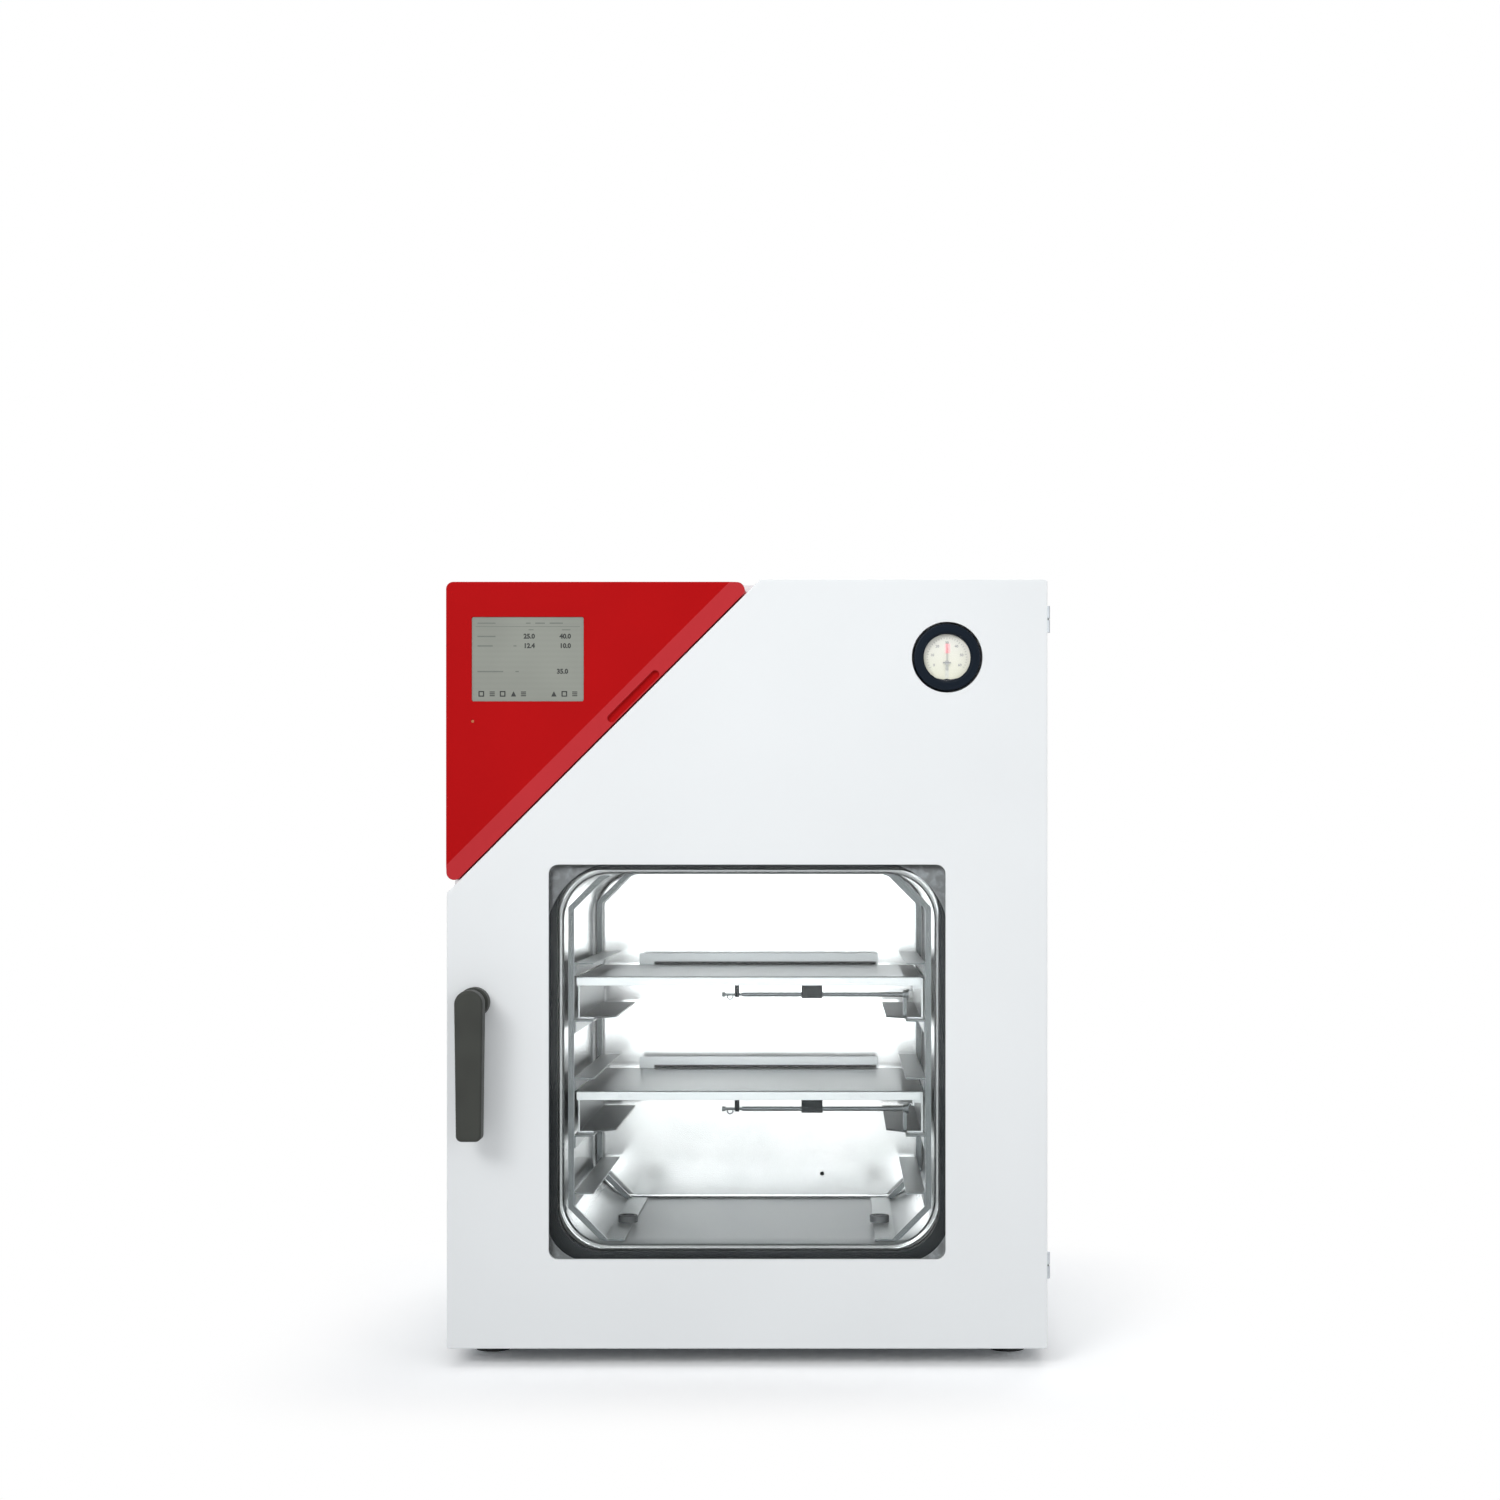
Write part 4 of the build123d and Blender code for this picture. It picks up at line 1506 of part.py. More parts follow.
NODES = {
    "outer_jacket": outer_jacket, "base_pan": base_pan, "rubber_feet": rubber_feet,
    "housing_screws": housing_screws, "front_frame": front_frame, "rear_panel": rear_panel,
    "inner_chamber": inner_chamber, "chamber_gasket": chamber_gasket, "flange_nuts": flange_nuts,
    "chamber_saddle": chamber_saddle, "heater_mats": heater_mats, "temperature_sensor": temperature_sensor,
    "insulation_wrap": insulation_wrap, "compartment_floor": compartment_floor,
    "control_board": control_board,
    "power_supply": power_supply, "vacuum_manifold": vacuum_manifold,
    "solenoid_valves": solenoid_valves, "vacuum_port": vacuum_port, "gas_inlet_port": gas_inlet_port,
    "vacuum_pipes": vacuum_pipes, "mains_inlet": mains_inlet,
    "switch_frame": switch_frame, "switch_rocker": switch_rocker, "control_panel": control_panel,
    "touch_screen": touch_screen, "display_board": display_board, "status_led": status_led,
    "gauge_case": gauge_case, "gauge_dial": gauge_dial, "gauge_pointer": gauge_pointer,
    "gauge_lens": gauge_lens,
    "latch_keeper": latch_keeper, "housing_hinge_halves": housing_hinge_halves, "hinge_pins": hinge_pins,
    "left_rack_frame": left_rack_frame, "right_rack_frame": right_rack_frame, "rack_knobs": rack_knobs,
    "door_skin": door_skin, "door_inner_panel": door_inner_panel, "gauge_collar": gauge_collar,
    "outer_pane": outer_pane, "pane_glazing": pane_glazing, "pane_carrier": pane_carrier,
    "inner_pane": inner_pane,
    "spring_rails": spring_rails, "pane_bolts": pane_bolts, "pane_springs": pane_springs,
    "door_hinge_halves": door_hinge_halves, "handle_boss": handle_boss, "lever_handle": lever_handle,
    "handle_spindle": handle_spindle, "latch_cam": latch_cam, "clamp_blocks": clamp_blocks,
}
SHELF_NODES = {"tray": shelf_tray, "shoe": shelf_shoe, "clamp_rod": clamp_rod}


def main():
    os.makedirs("parts", exist_ok=True)
    for name, make in NODES.items():
        export_step(make(), f"parts/{name}.step")
    for place, level in zip(("lower", "upper"), SHELF_LEVELS):
        for piece, make in SHELF_NODES.items():
            export_step(make(level), f"parts/{place}_{piece}.step")


main()
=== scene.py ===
"""Looks of a vacuum drying oven, laid out as a Blender add-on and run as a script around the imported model."""

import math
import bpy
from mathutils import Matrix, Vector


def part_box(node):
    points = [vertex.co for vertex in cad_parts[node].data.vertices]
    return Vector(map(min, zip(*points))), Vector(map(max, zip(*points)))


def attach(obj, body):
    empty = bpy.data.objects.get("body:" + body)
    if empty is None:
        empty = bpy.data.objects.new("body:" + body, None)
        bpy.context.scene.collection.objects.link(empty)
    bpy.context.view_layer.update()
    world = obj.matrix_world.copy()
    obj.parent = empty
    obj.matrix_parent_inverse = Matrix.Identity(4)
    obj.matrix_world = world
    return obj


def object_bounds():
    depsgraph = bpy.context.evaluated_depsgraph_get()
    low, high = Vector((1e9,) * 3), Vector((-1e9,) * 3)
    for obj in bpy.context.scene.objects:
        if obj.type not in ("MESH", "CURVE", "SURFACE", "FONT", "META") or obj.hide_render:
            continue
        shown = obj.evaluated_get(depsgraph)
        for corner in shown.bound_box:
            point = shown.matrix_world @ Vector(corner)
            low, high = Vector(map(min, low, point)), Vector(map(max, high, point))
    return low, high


bl_info = {
    "name": "Vacuum drying oven",
    "version": (1, 0, 0),
    "blender": (4, 5, 0),
    "location": "3D View > Sidebar > Oven",
    "description": "Dresses the packed oven with its finishes, display, dial and stage",
    "category": "Object",
}

import bmesh
import bpy
from bpy.props import FloatProperty, FloatVectorProperty, PointerProperty
from mathutils import Matrix, Vector

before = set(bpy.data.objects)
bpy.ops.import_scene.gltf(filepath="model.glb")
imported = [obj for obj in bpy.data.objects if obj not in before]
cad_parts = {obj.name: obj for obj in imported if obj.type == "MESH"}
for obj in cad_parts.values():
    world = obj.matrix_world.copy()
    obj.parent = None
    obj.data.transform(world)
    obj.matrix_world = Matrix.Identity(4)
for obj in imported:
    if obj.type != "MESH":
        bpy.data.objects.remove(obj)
CAD_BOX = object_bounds()

MM = 0.001

# In mm: the depth of the band of painted shade at the chamber's mouth, and the heights above a shelf's foot
# between which its channels turn from pale to painted shade.
RIM_DEPTH, CHANNEL_TOP, CHANNEL_DULL = 45, 44, 38


def linear(code):
    """An sRGB hex colour as the linear values that Blender mixes."""
    parts = [int(code[i:i + 2], 16) / 255 for i in (1, 3, 5)]
    return tuple(p / 12.92 if p <= 0.04045 else ((p + 0.055) / 1.055) ** 2.4 for p in parts)


def per_mm(size):
    """Scale of a pattern whose features are this many millimetres apart, for coordinates in metres."""
    return 1.0 / (size * MM)


def colour(title, words, code):
    return FloatVectorProperty(name=title, description=words, subtype="COLOR", size=3, min=0, max=1,
                               default=linear(code))


def length(title, words, millimetres):
    return FloatProperty(name=title, description=words, subtype="DISTANCE", unit="LENGTH", precision=5,
                         default=millimetres * MM)


class OvenFinishSettings(bpy.types.PropertyGroup):
    """Colours of the finishes."""

    white: colour("Powder coat", "White coat of the door and the housing", "#F0F3F4")
    red: colour("Cover", "Red plastic of the control cover", "#B80A0E")
    # The paler red of the cover's sloping edge is a painted reflection.
    bevel: colour("Cover's bevel", "Duller red of the cover's sloping edge", "#CC373C")
    anthracite: colour("Handle", "Grey-black plastic of the lever", "#3F413D")
    black: colour("Black plastic", "Window ring, clamp blocks, mains inlet and switch", "#2B2F31")
    rubber: colour("Rubber", "Feet and chamber seal", "#17191A")
    bezel: colour("Gauge case", "Blue-black plastic of the gauge", "#0A1724")
    dial: colour("Dial", "Off-white printed dial", "#C3C3BC")
    needle: colour("Needle", "Pale red of the gauge needle's tip", "#DC6B74")
    screen: colour("Display", "Grey-green of the lit display", "#94978F")


class OvenSizeSettings(bpy.types.PropertyGroup):
    """Sizes of the printed and moulded detail, and of the stage."""

    ink: length("Ink height", "How far print stands off its surface", 0.12)
    digit: length("Digit height", "Height of the display's figures", 5.0)
    icon: length("Icon size", "Width of the display's buttons", 5.6)
    tick: length("Tick length", "Length of the dial's ticks", 2.4)
    tick_radius: length("Tick circle", "Radius of the dial's outer ticks", 21.5)
    dial_digit: length("Dial digit height", "Height of the dial's figures", 2.8)
    # The slot's sizes place a dark bar, a painted shadow, at the foot of each tray's upstand.
    slot_width: length("Slot width", "Length of the slot at the foot of a tray's upstand", 268)
    slot_height: length("Slot height", "Height of the same slot", 4.0)
    slot_x: length("Slot's place", "Sideways place of the slot's middle", 8)
    tray_sheet: length("Tray sheet", "Thickness of the trays' sheet", 2.0)
    upstand: length("Upstand", "Height of the trays' rear upstand above the plate", 14)
    camera_distance: length("Camera distance", "From the door's front to the camera", 2480)
    camera_x: length("Camera's place", "Sideways place of the camera", 96)
    camera_z: length("Camera's height", "Height of the camera", 540)
    white_floor: length("White floor", "Distance from the oven beyond which the floor is plain white", 260)


def sizes():
    return bpy.context.scene.oven_sizes


def finishes():
    return bpy.context.scene.oven_finishes


# Node trees

def set_inputs(tree, node, values):
    """Links the sockets and sets the plain values."""
    for key, value in values.items():
        if isinstance(value, bpy.types.NodeSocket):
            tree.links.new(value, node.inputs[key])
        else:
            node.inputs[key].default_value = value


def add_node(tree, kind, inputs=None, **settings):
    """A node with its settings, its values and its links, from one call."""
    node = tree.nodes.new(kind)
    for key, value in settings.items():
        setattr(node, key, value)
    set_inputs(tree, node, inputs or {})
    return node


def new_material(name):
    """A material with only its shader and output, and the coordinates that its patterns use."""
    material = bpy.data.materials.new(name)
    material.use_nodes = True
    tree = material.node_tree
    tree.nodes.clear()
    output = add_node(tree, "ShaderNodeOutputMaterial")
    shader = add_node(tree, "ShaderNodeBsdfPrincipled")
    tree.links.new(shader.outputs["BSDF"], output.inputs["Surface"])
    place = add_node(tree, "ShaderNodeTexCoord").outputs["Object"]
    return material, tree, shader, place


def shades(tree, factor, *stops):
    """Colours or greys along a factor: each stop is (place, colour)."""
    node = add_node(tree, "ShaderNodeValToRGB", {"Fac": factor})
    band = node.color_ramp
    while len(band.elements) < len(stops):
        band.elements.new(0.5)
    for element, (place, value) in zip(band.elements, stops):
        element.position = place
        element.color = (*value, 1) if len(value) == 3 else value
    return node.outputs["Color"]


def grey(level):
    return (level, level, level)


def tone(base, factor):
    return tuple(min(1.0, c * factor) for c in base)


def spread(tree, factor, low, high):
    """A grey factor mapped to a range of values, such as roughness."""
    return add_node(tree, "ShaderNodeMapRange",
                    {"Value": factor, "To Min": low, "To Max": high}).outputs["Result"]


def ramp(tree, value, start, stop, **settings):
    """0 at the start and 1 at the stop of a value."""
    return add_node(tree, "ShaderNodeMapRange",
                    {"Value": value, "From Min": start, "From Max": stop}, **settings).outputs["Result"]


def worked_out(tree, operation, first, second):
    """The result of one sum on two values."""
    return add_node(tree, "ShaderNodeMath", {0: first, 1: second}, operation=operation).outputs[0]


def vector_step(tree, operation, *inputs):
    """One sum on vectors."""
    return add_node(tree, "ShaderNodeVectorMath", dict(enumerate(inputs)), operation=operation)


def speckle(tree, place, size, detail=2.0, stretch=None):
    """Noise with features of this size in mm, drawn out along an axis where stretch says."""
    if stretch:
        place = add_node(tree, "ShaderNodeMapping", {"Vector": place, "Scale": stretch}).outputs["Vector"]
    return add_node(tree, "ShaderNodeTexNoise",
                    {"Vector": place, "Scale": per_mm(size), "Detail": detail}).outputs["Fac"]


def stripes(tree, place, radian, axis, waver):
    """Bands along an axis whose wave takes this many mm for a radian, so they lie 2 pi times that apart."""
    # The texture's wave turns by 20 radians in a unit.
    return add_node(tree, "ShaderNodeTexWave",
                    {"Vector": place, "Scale": per_mm(radian) / 20, "Distortion": waver},
                    wave_type="BANDS", bands_direction=axis).outputs["Fac"]


def relief(tree, height, depth, strength=1.0, normal=None):
    """A bump of this depth in mm."""
    values = {"Height": height, "Distance": depth * MM, "Strength": strength}
    if normal:
        values["Normal"] = normal
    return add_node(tree, "ShaderNodeBump", values).outputs["Normal"]


def facing(tree, direction, low, high):
    """1 on the faces that look this way, 0 on the others, with a short step between the two cosines."""
    normal = add_node(tree, "ShaderNodeNewGeometry").outputs["Normal"]
    return ramp(tree, vector_step(tree, "DOT_PRODUCT", normal, direction).outputs["Value"], low, high)


def part_of(tree, place, axis):
    """One coordinate of a place."""
    return add_node(tree, "ShaderNodeSeparateXYZ", {"Vector": place}).outputs[axis]


def along(tree, place, axis, start, stop):
    """0 to 1 between two places on an axis, in metres."""
    return ramp(tree, part_of(tree, place, axis), start, stop)


def blend(tree, factor, first, second):
    """Two colours mixed by a factor."""
    ends = [value if isinstance(value, bpy.types.NodeSocket) else (*value, 1) for value in (first, second)]
    return add_node(tree, "ShaderNodeMix", {"Factor": factor, "A": ends[0], "B": ends[1]},
                    data_type="RGBA").outputs["Result"]


def soft_edge(tree, radius):
    """Edges rounded by this many mm, as bent sheet and mouldings have."""
    return add_node(tree, "ShaderNodeBevel", {"Radius": radius * MM}, samples=6).outputs["Normal"]


# Finishes

def powder_coated_steel():
    """Epoxy-polyester powder on sheet steel: white, softly glossy, with faint orange peel of about 2 mm."""
    material, tree, shader, place = new_material("powder_coated_steel_white")
    white = finishes().white
    peel = speckle(tree, place, 2.2, 1.5)
    drift = speckle(tree, place, 160, 1.0)
    set_inputs(tree, shader, {
        "Base Color": shades(tree, drift, (0.3, tone(white, 0.985)), (0.7, tone(white, 1.01))),
        "Roughness": spread(tree, peel, 0.38, 0.46), "IOR": 1.5,
        "Normal": relief(tree, peel, 0.02, 0.5, soft_edge(tree, 0.8))})
    return material


def polished_stainless():
    """Stainless sheet, brushed and polished: bright walls, a rougher floor with slight painted shade, and a
    grey band of painted shade at its mouth.
    """
    material, tree, shader, place = new_material("polished_stainless_steel")
    streaks = speckle(tree, place, 0.5, 3.0, (1, 0.02, 1))
    cloud = speckle(tree, place, 60, 2.0)
    wall = shades(tree, cloud, (0.3, linear("#DFE1E2")), (0.7, linear("#E7E8E9")))
    # The faces that look up, the chamber's floor, are rougher and painted slightly darker as shade.
    floor = facing(tree, (0, 0, 1), 0.5, 0.95)
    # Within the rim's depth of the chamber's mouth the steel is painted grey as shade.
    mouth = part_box("inner_chamber")[0][1]
    rim = worked_out(tree, "SUBTRACT", 1.0, along(tree, place, "Y", mouth, mouth + RIM_DEPTH * MM))
    dull = blend(tree, floor, wall, linear("#DDDFE0"))
    rough = worked_out(tree, "ADD", spread(tree, cloud, 0.15, 0.2), spread(tree, floor, 0.0, 0.28))
    set_inputs(tree, shader, {
        "Base Color": blend(tree, worked_out(tree, "MULTIPLY", rim, 0.7), dull, linear("#8B8F91")),
        "Metallic": 1.0, "Roughness": rough, "Normal": relief(tree, streaks, 0.004, 0.35)})
    return material


def drawn_stainless():
    """Stainless bar and wire, pickled: satin with draw lines, and painted shade on its faces to the front."""
    material, tree, shader, place = new_material("drawn_stainless_wire")
    lines = speckle(tree, place, 0.6, 2.0, (1, 0.05, 0.05))
    bright = shades(tree, lines, (0.3, linear("#DFE2E3")), (0.7, linear("#EBEDED")))
    set_inputs(tree, shader, {
        # Faces that look to the front are painted dark grey as shade.
        "Base Color": blend(tree, facing(tree, (0, -1, 0), 0.3, 0.8), bright, linear("#6E7375")),
        "Metallic": 1.0, "Roughness": spread(tree, lines, 0.34, 0.44),
        "Normal": relief(tree, lines, 0.006, 0.4)})
    return material


def zinc_plated_steel():
    """Zinc-plated and passivated sheet steel: bluish grey with cloudy patches of 10 to 20 mm."""
    material, tree, shader, place = new_material("zinc_plated_steel")
    cloud = speckle(tree, place, 14, 3.0)
    fine = speckle(tree, place, 0.8)
    set_inputs(tree, shader, {
        "Base Color": shades(tree, cloud, (0.3, linear("#A9B0B6")), (0.7, linear("#C6CBCF"))),
        "Metallic": 1.0, "Roughness": spread(tree, cloud, 0.32, 0.45),
        "Normal": relief(tree, fine, 0.01, 0.4, soft_edge(tree, 0.3))})
    return material


def rolled_aluminium():
    """Mill-finish aluminium sheet: pale, satin, with rolling lines, and painted shade on its front faces and
    inside its channels.
    """
    material, tree, shader, place = new_material("rolled_aluminium_sheet")
    lines = speckle(tree, place, 1.0, 3.0, (0.03, 1, 1))
    pale = shades(tree, lines, (0.3, linear("#D6D8D9")), (0.7, linear("#E8E9EA")))
    # The shelves' channels lie below their top sheets, which repeat from one shelf to the next.
    foot, next_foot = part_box("lower_tray")[0][2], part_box("upper_tray")[0][2]
    above = worked_out(tree, "SUBTRACT", part_of(tree, place, "Z"), foot)
    step = worked_out(tree, "MODULO", above, next_foot - foot)
    # Within each channel the faces that don't look to the front are painted dark grey as shade.
    low_part = ramp(tree, step, CHANNEL_TOP * MM, CHANNEL_DULL * MM)
    # Faces that look to the front are painted a darker grey as shade.
    front = facing(tree, (0, -1, 0), 0.3, 0.7)
    inside = worked_out(tree, "SUBTRACT", 1.0, front)
    pale = blend(tree, front, pale, linear("#B4B8BA"))
    set_inputs(tree, shader, {
        "Base Color": blend(tree, worked_out(tree, "MULTIPLY", low_part, inside), pale, linear("#6B6F71")),
        "Metallic": 1.0, "Roughness": spread(tree, lines, 0.26, 0.36),
        "Normal": relief(tree, lines, 0.005, 0.4, soft_edge(tree, 0.5))})
    return material


def moulded_abs_red():
    """ABS cover, moulded with a fine eroded grain of 0.6 mm; its sloping edge is painted a paler red as a
    painted reflection.
    """
    material, tree, shader, place = new_material("moulded_abs_red")
    grain = speckle(tree, place, 0.6, 2.0)
    drift = speckle(tree, place, 90, 1.0)
    # The sloping edge faces down, right and a little forward, which no other face of the cover does; its paler
    # red is a painted reflection.
    on_edge = facing(tree, (0.66, -0.36, -0.66), 0.50, 0.56)
    body = shades(tree, drift, (0.3, tone(finishes().red, 0.97)), (0.7, tone(finishes().red, 1.03)))
    edge = shades(tree, drift, (0.3, tone(finishes().bevel, 0.97)), (0.7, tone(finishes().bevel, 1.03)))
    set_inputs(tree, shader, {
        "Base Color": blend(tree, on_edge, body, edge), "Roughness": spread(tree, grain, 0.34, 0.44),
        "IOR": 1.53, "Specular IOR Level": 0.05,
        "Normal": relief(tree, grain, 0.015, 0.4, soft_edge(tree, 0.9))})
    return material


def moulded_plastic(name, shade, grain_mm, rough, edge, gloss):
    """Injection-moulded plastic with an eroded grain that scatters most of its gloss."""
    material, tree, shader, place = new_material(name)
    grain = speckle(tree, place, grain_mm, 3.0)
    drift = speckle(tree, place, 40, 1.0)
    set_inputs(tree, shader, {
        "Base Color": shades(tree, drift, (0.3, tone(shade, 0.9)), (0.7, tone(shade, 1.12))),
        "Roughness": spread(tree, grain, rough - 0.05, rough + 0.06), "Specular IOR Level": gloss,
        "Normal": relief(tree, grain, 0.03, 0.45, soft_edge(tree, edge))})
    return material


def moulded_rubber(name, shade, rough):
    """Moulded or extruded rubber: matt, with dust-fine grain and paler scuffs about 7 mm across."""
    material, tree, shader, place = new_material(name)
    grain = speckle(tree, place, 0.5, 3.0)
    scuff = speckle(tree, place, 7, 4.0)
    set_inputs(tree, shader, {
        "Base Color": shades(tree, scuff, (0.45, shade), (0.75, tone(shade, 1.6))),
        "Roughness": spread(tree, grain, rough, rough + 0.12), "IOR": 1.52,
        "Normal": relief(tree, grain, 0.03, 0.5)})
    return material


def display_film():
    """Lit liquid-crystal display behind a glossy film: grey-green, with faint rows 5.7 mm apart."""
    material, tree, shader, place = new_material("lit_display_film")
    rows = stripes(tree, place, 0.9, "Z", 0.0)
    drift = speckle(tree, place, 70, 1.0)
    base = finishes().screen
    tinted = shades(tree, drift, (0.3, tone(base, 0.93)), (0.7, tone(base, 1.05)))
    lined = blend(tree, spread(tree, rows, 0.0, 0.06), tinted, tone(base, 0.6))
    set_inputs(tree, shader, {
        "Base Color": lined, "Roughness": spread(tree, drift, 0.16, 0.22), "IOR": 1.5,
        "Specular IOR Level": 0.15, "Emission Color": lined, "Emission Strength": 0.05})
    return material


def clear_pane(name, tint, rough):
    """Clear glass or sheet with an anti-reflective coat: a faint tint and a soft cloud of cleaning marks."""
    material, tree, shader, place = new_material(name)
    marks = speckle(tree, place, 35, 3.0)
    set_inputs(tree, shader, {
        "Base Color": shades(tree, marks, (0.3, tint), (0.7, tone(tint, 1.01))),
        "Transmission Weight": 1.0,
        # The coat keeps the studio's reflection off each surface, so its index is near that of air.
        "IOR": 1.12, "Roughness": spread(tree, marks, rough, rough + 0.006)})
    return material


def printed_dial():
    """Enamelled dial plate: off-white, warmer towards its lower edge, with fine print grain."""
    material, tree, shader, place = new_material("printed_dial_plate")
    low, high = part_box("gauge_dial")
    upward = along(tree, place, "Z", low[2], high[2])
    base = finishes().dial
    warm = (base[0] * 0.96, base[1] * 0.96, base[2] * 0.86)
    grain = speckle(tree, place, 0.7)
    set_inputs(tree, shader, {
        "Base Color": shades(tree, upward, (0.15, warm), (0.75, tuple(base))),
        "Roughness": spread(tree, grain, 0.5, 0.6), "IOR": 1.5})
    return material


def enamelled(name, shade):
    """Thin stoved enamel or printing ink: even, satin, with a slight mottling of 3 mm."""
    material, tree, shader, place = new_material(name)
    mottle = speckle(tree, place, 3.0)
    set_inputs(tree, shader, {
        "Base Color": shades(tree, mottle, (0.3, tone(shade, 0.92)), (0.7, tone(shade, 1.08))),
        "Roughness": spread(tree, mottle, 0.42, 0.52), "IOR": 1.5})
    return material


def enamelled_needle():
    """Stamped needle, enamelled pale red towards its tip and left grey towards its hub."""
    material, tree, shader, place = new_material("enamelled_gauge_needle")
    low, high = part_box("gauge_pointer")
    upward = along(tree, place, "Z", low[2], high[2])
    mottle = speckle(tree, place, 1.5)
    set_inputs(tree, shader, {
        "Base Color": shades(tree, upward, (0.58, linear("#A3A5A2")), (0.64, tuple(finishes().needle))),
        "Roughness": spread(tree, mottle, 0.4, 0.5), "Specular IOR Level": 0.3})
    return material


def primed_steel():
    """Sheet steel under grey primer: matt, with a slight mottling of the spray every 4 mm."""
    material, tree, shader, place = new_material("grey_primed_steel")
    mottle = speckle(tree, place, 4.0)
    set_inputs(tree, shader, {
        "Base Color": shades(tree, mottle, (0.3, linear("#979C9E")), (0.7, linear("#A3A8AA"))),
        "Roughness": spread(tree, mottle, 0.5, 0.62), "Specular IOR Level": 0.3})
    return material


def circuit_board():
    """Glass-fibre board under green solder mask, with pale solder pads about 5 mm apart."""
    material, tree, shader, place = new_material("glass_fibre_circuit_board")
    cells = add_node(tree, "ShaderNodeTexVoronoi", {"Vector": place, "Scale": per_mm(5.0)},
                     distance="CHEBYCHEV").outputs["Distance"]
    set_inputs(tree, shader, {
        "Base Color": shades(tree, cells, (0.1, linear("#9FA8A0")), (0.16, linear("#1D5A34")),
                             (0.5, linear("#123F24"))),
        "Roughness": spread(tree, cells, 0.3, 0.5), "IOR": 1.55})
    return material


def mineral_wool():
    """Bonded mineral wool: straw-coloured felted fibres, clumped every 6 mm."""
    material, tree, shader, place = new_material("bonded_mineral_wool")
    fibres = speckle(tree, place, 2.0, 5.0, (1, 1, 0.25))
    clumps = speckle(tree, place, 6.0, 3.0)
    set_inputs(tree, shader, {
        "Base Color": shades(tree, clumps, (0.3, linear("#A8976A")), (0.7, linear("#CFC08F"))),
        "Roughness": spread(tree, fibres, 0.85, 1.0), "Normal": relief(tree, fibres, 1.2, 0.8)})
    return material


def heater_mat():
    """Silicone heater mat: orange-red rubber with the meander of its wire showing every 75 mm."""
    material, tree, shader, place = new_material("silicone_heater_mat")
    meander = stripes(tree, place, 12.0, "Y", 1.5)
    set_inputs(tree, shader, {
        "Base Color": shades(tree, meander, (0.4, linear("#B4441D")), (0.6, linear("#8E3517"))),
        "Roughness": spread(tree, meander, 0.5, 0.62), "Normal": relief(tree, meander, 0.3, 0.5)})
    return material


def turned_brass():
    """Bright brass: golden, with fine lines along its ports' axis and slight tarnish."""
    material, tree, shader, place = new_material("turned_brass")
    lines = speckle(tree, place, 0.6, 2.0, (1, 0.1, 1))
    tarnish = speckle(tree, place, 9, 3.0)
    set_inputs(tree, shader, {
        "Base Color": shades(tree, tarnish, (0.3, linear("#B99654")), (0.7, linear("#D9BC7C"))),
        "Metallic": 1.0, "Roughness": spread(tree, tarnish, 0.22, 0.36),
        "Normal": relief(tree, lines, 0.008, 0.4)})
    return material


def lamp_lens():
    """Small moulded lamp: brownish amber plastic that glows very faintly."""
    material, tree, shader, place = new_material("moulded_amber_lamp")
    glow = speckle(tree, place, 2.0)
    amber = shades(tree, glow, (0.3, linear("#B0562F")), (0.7, linear("#C46A3C")))
    set_inputs(tree, shader, {
        "Base Color": amber, "Roughness": spread(tree, glow, 0.2, 0.3), "IOR": 1.5,
        "Emission Color": amber, "Emission Strength": 0.05})
    return material


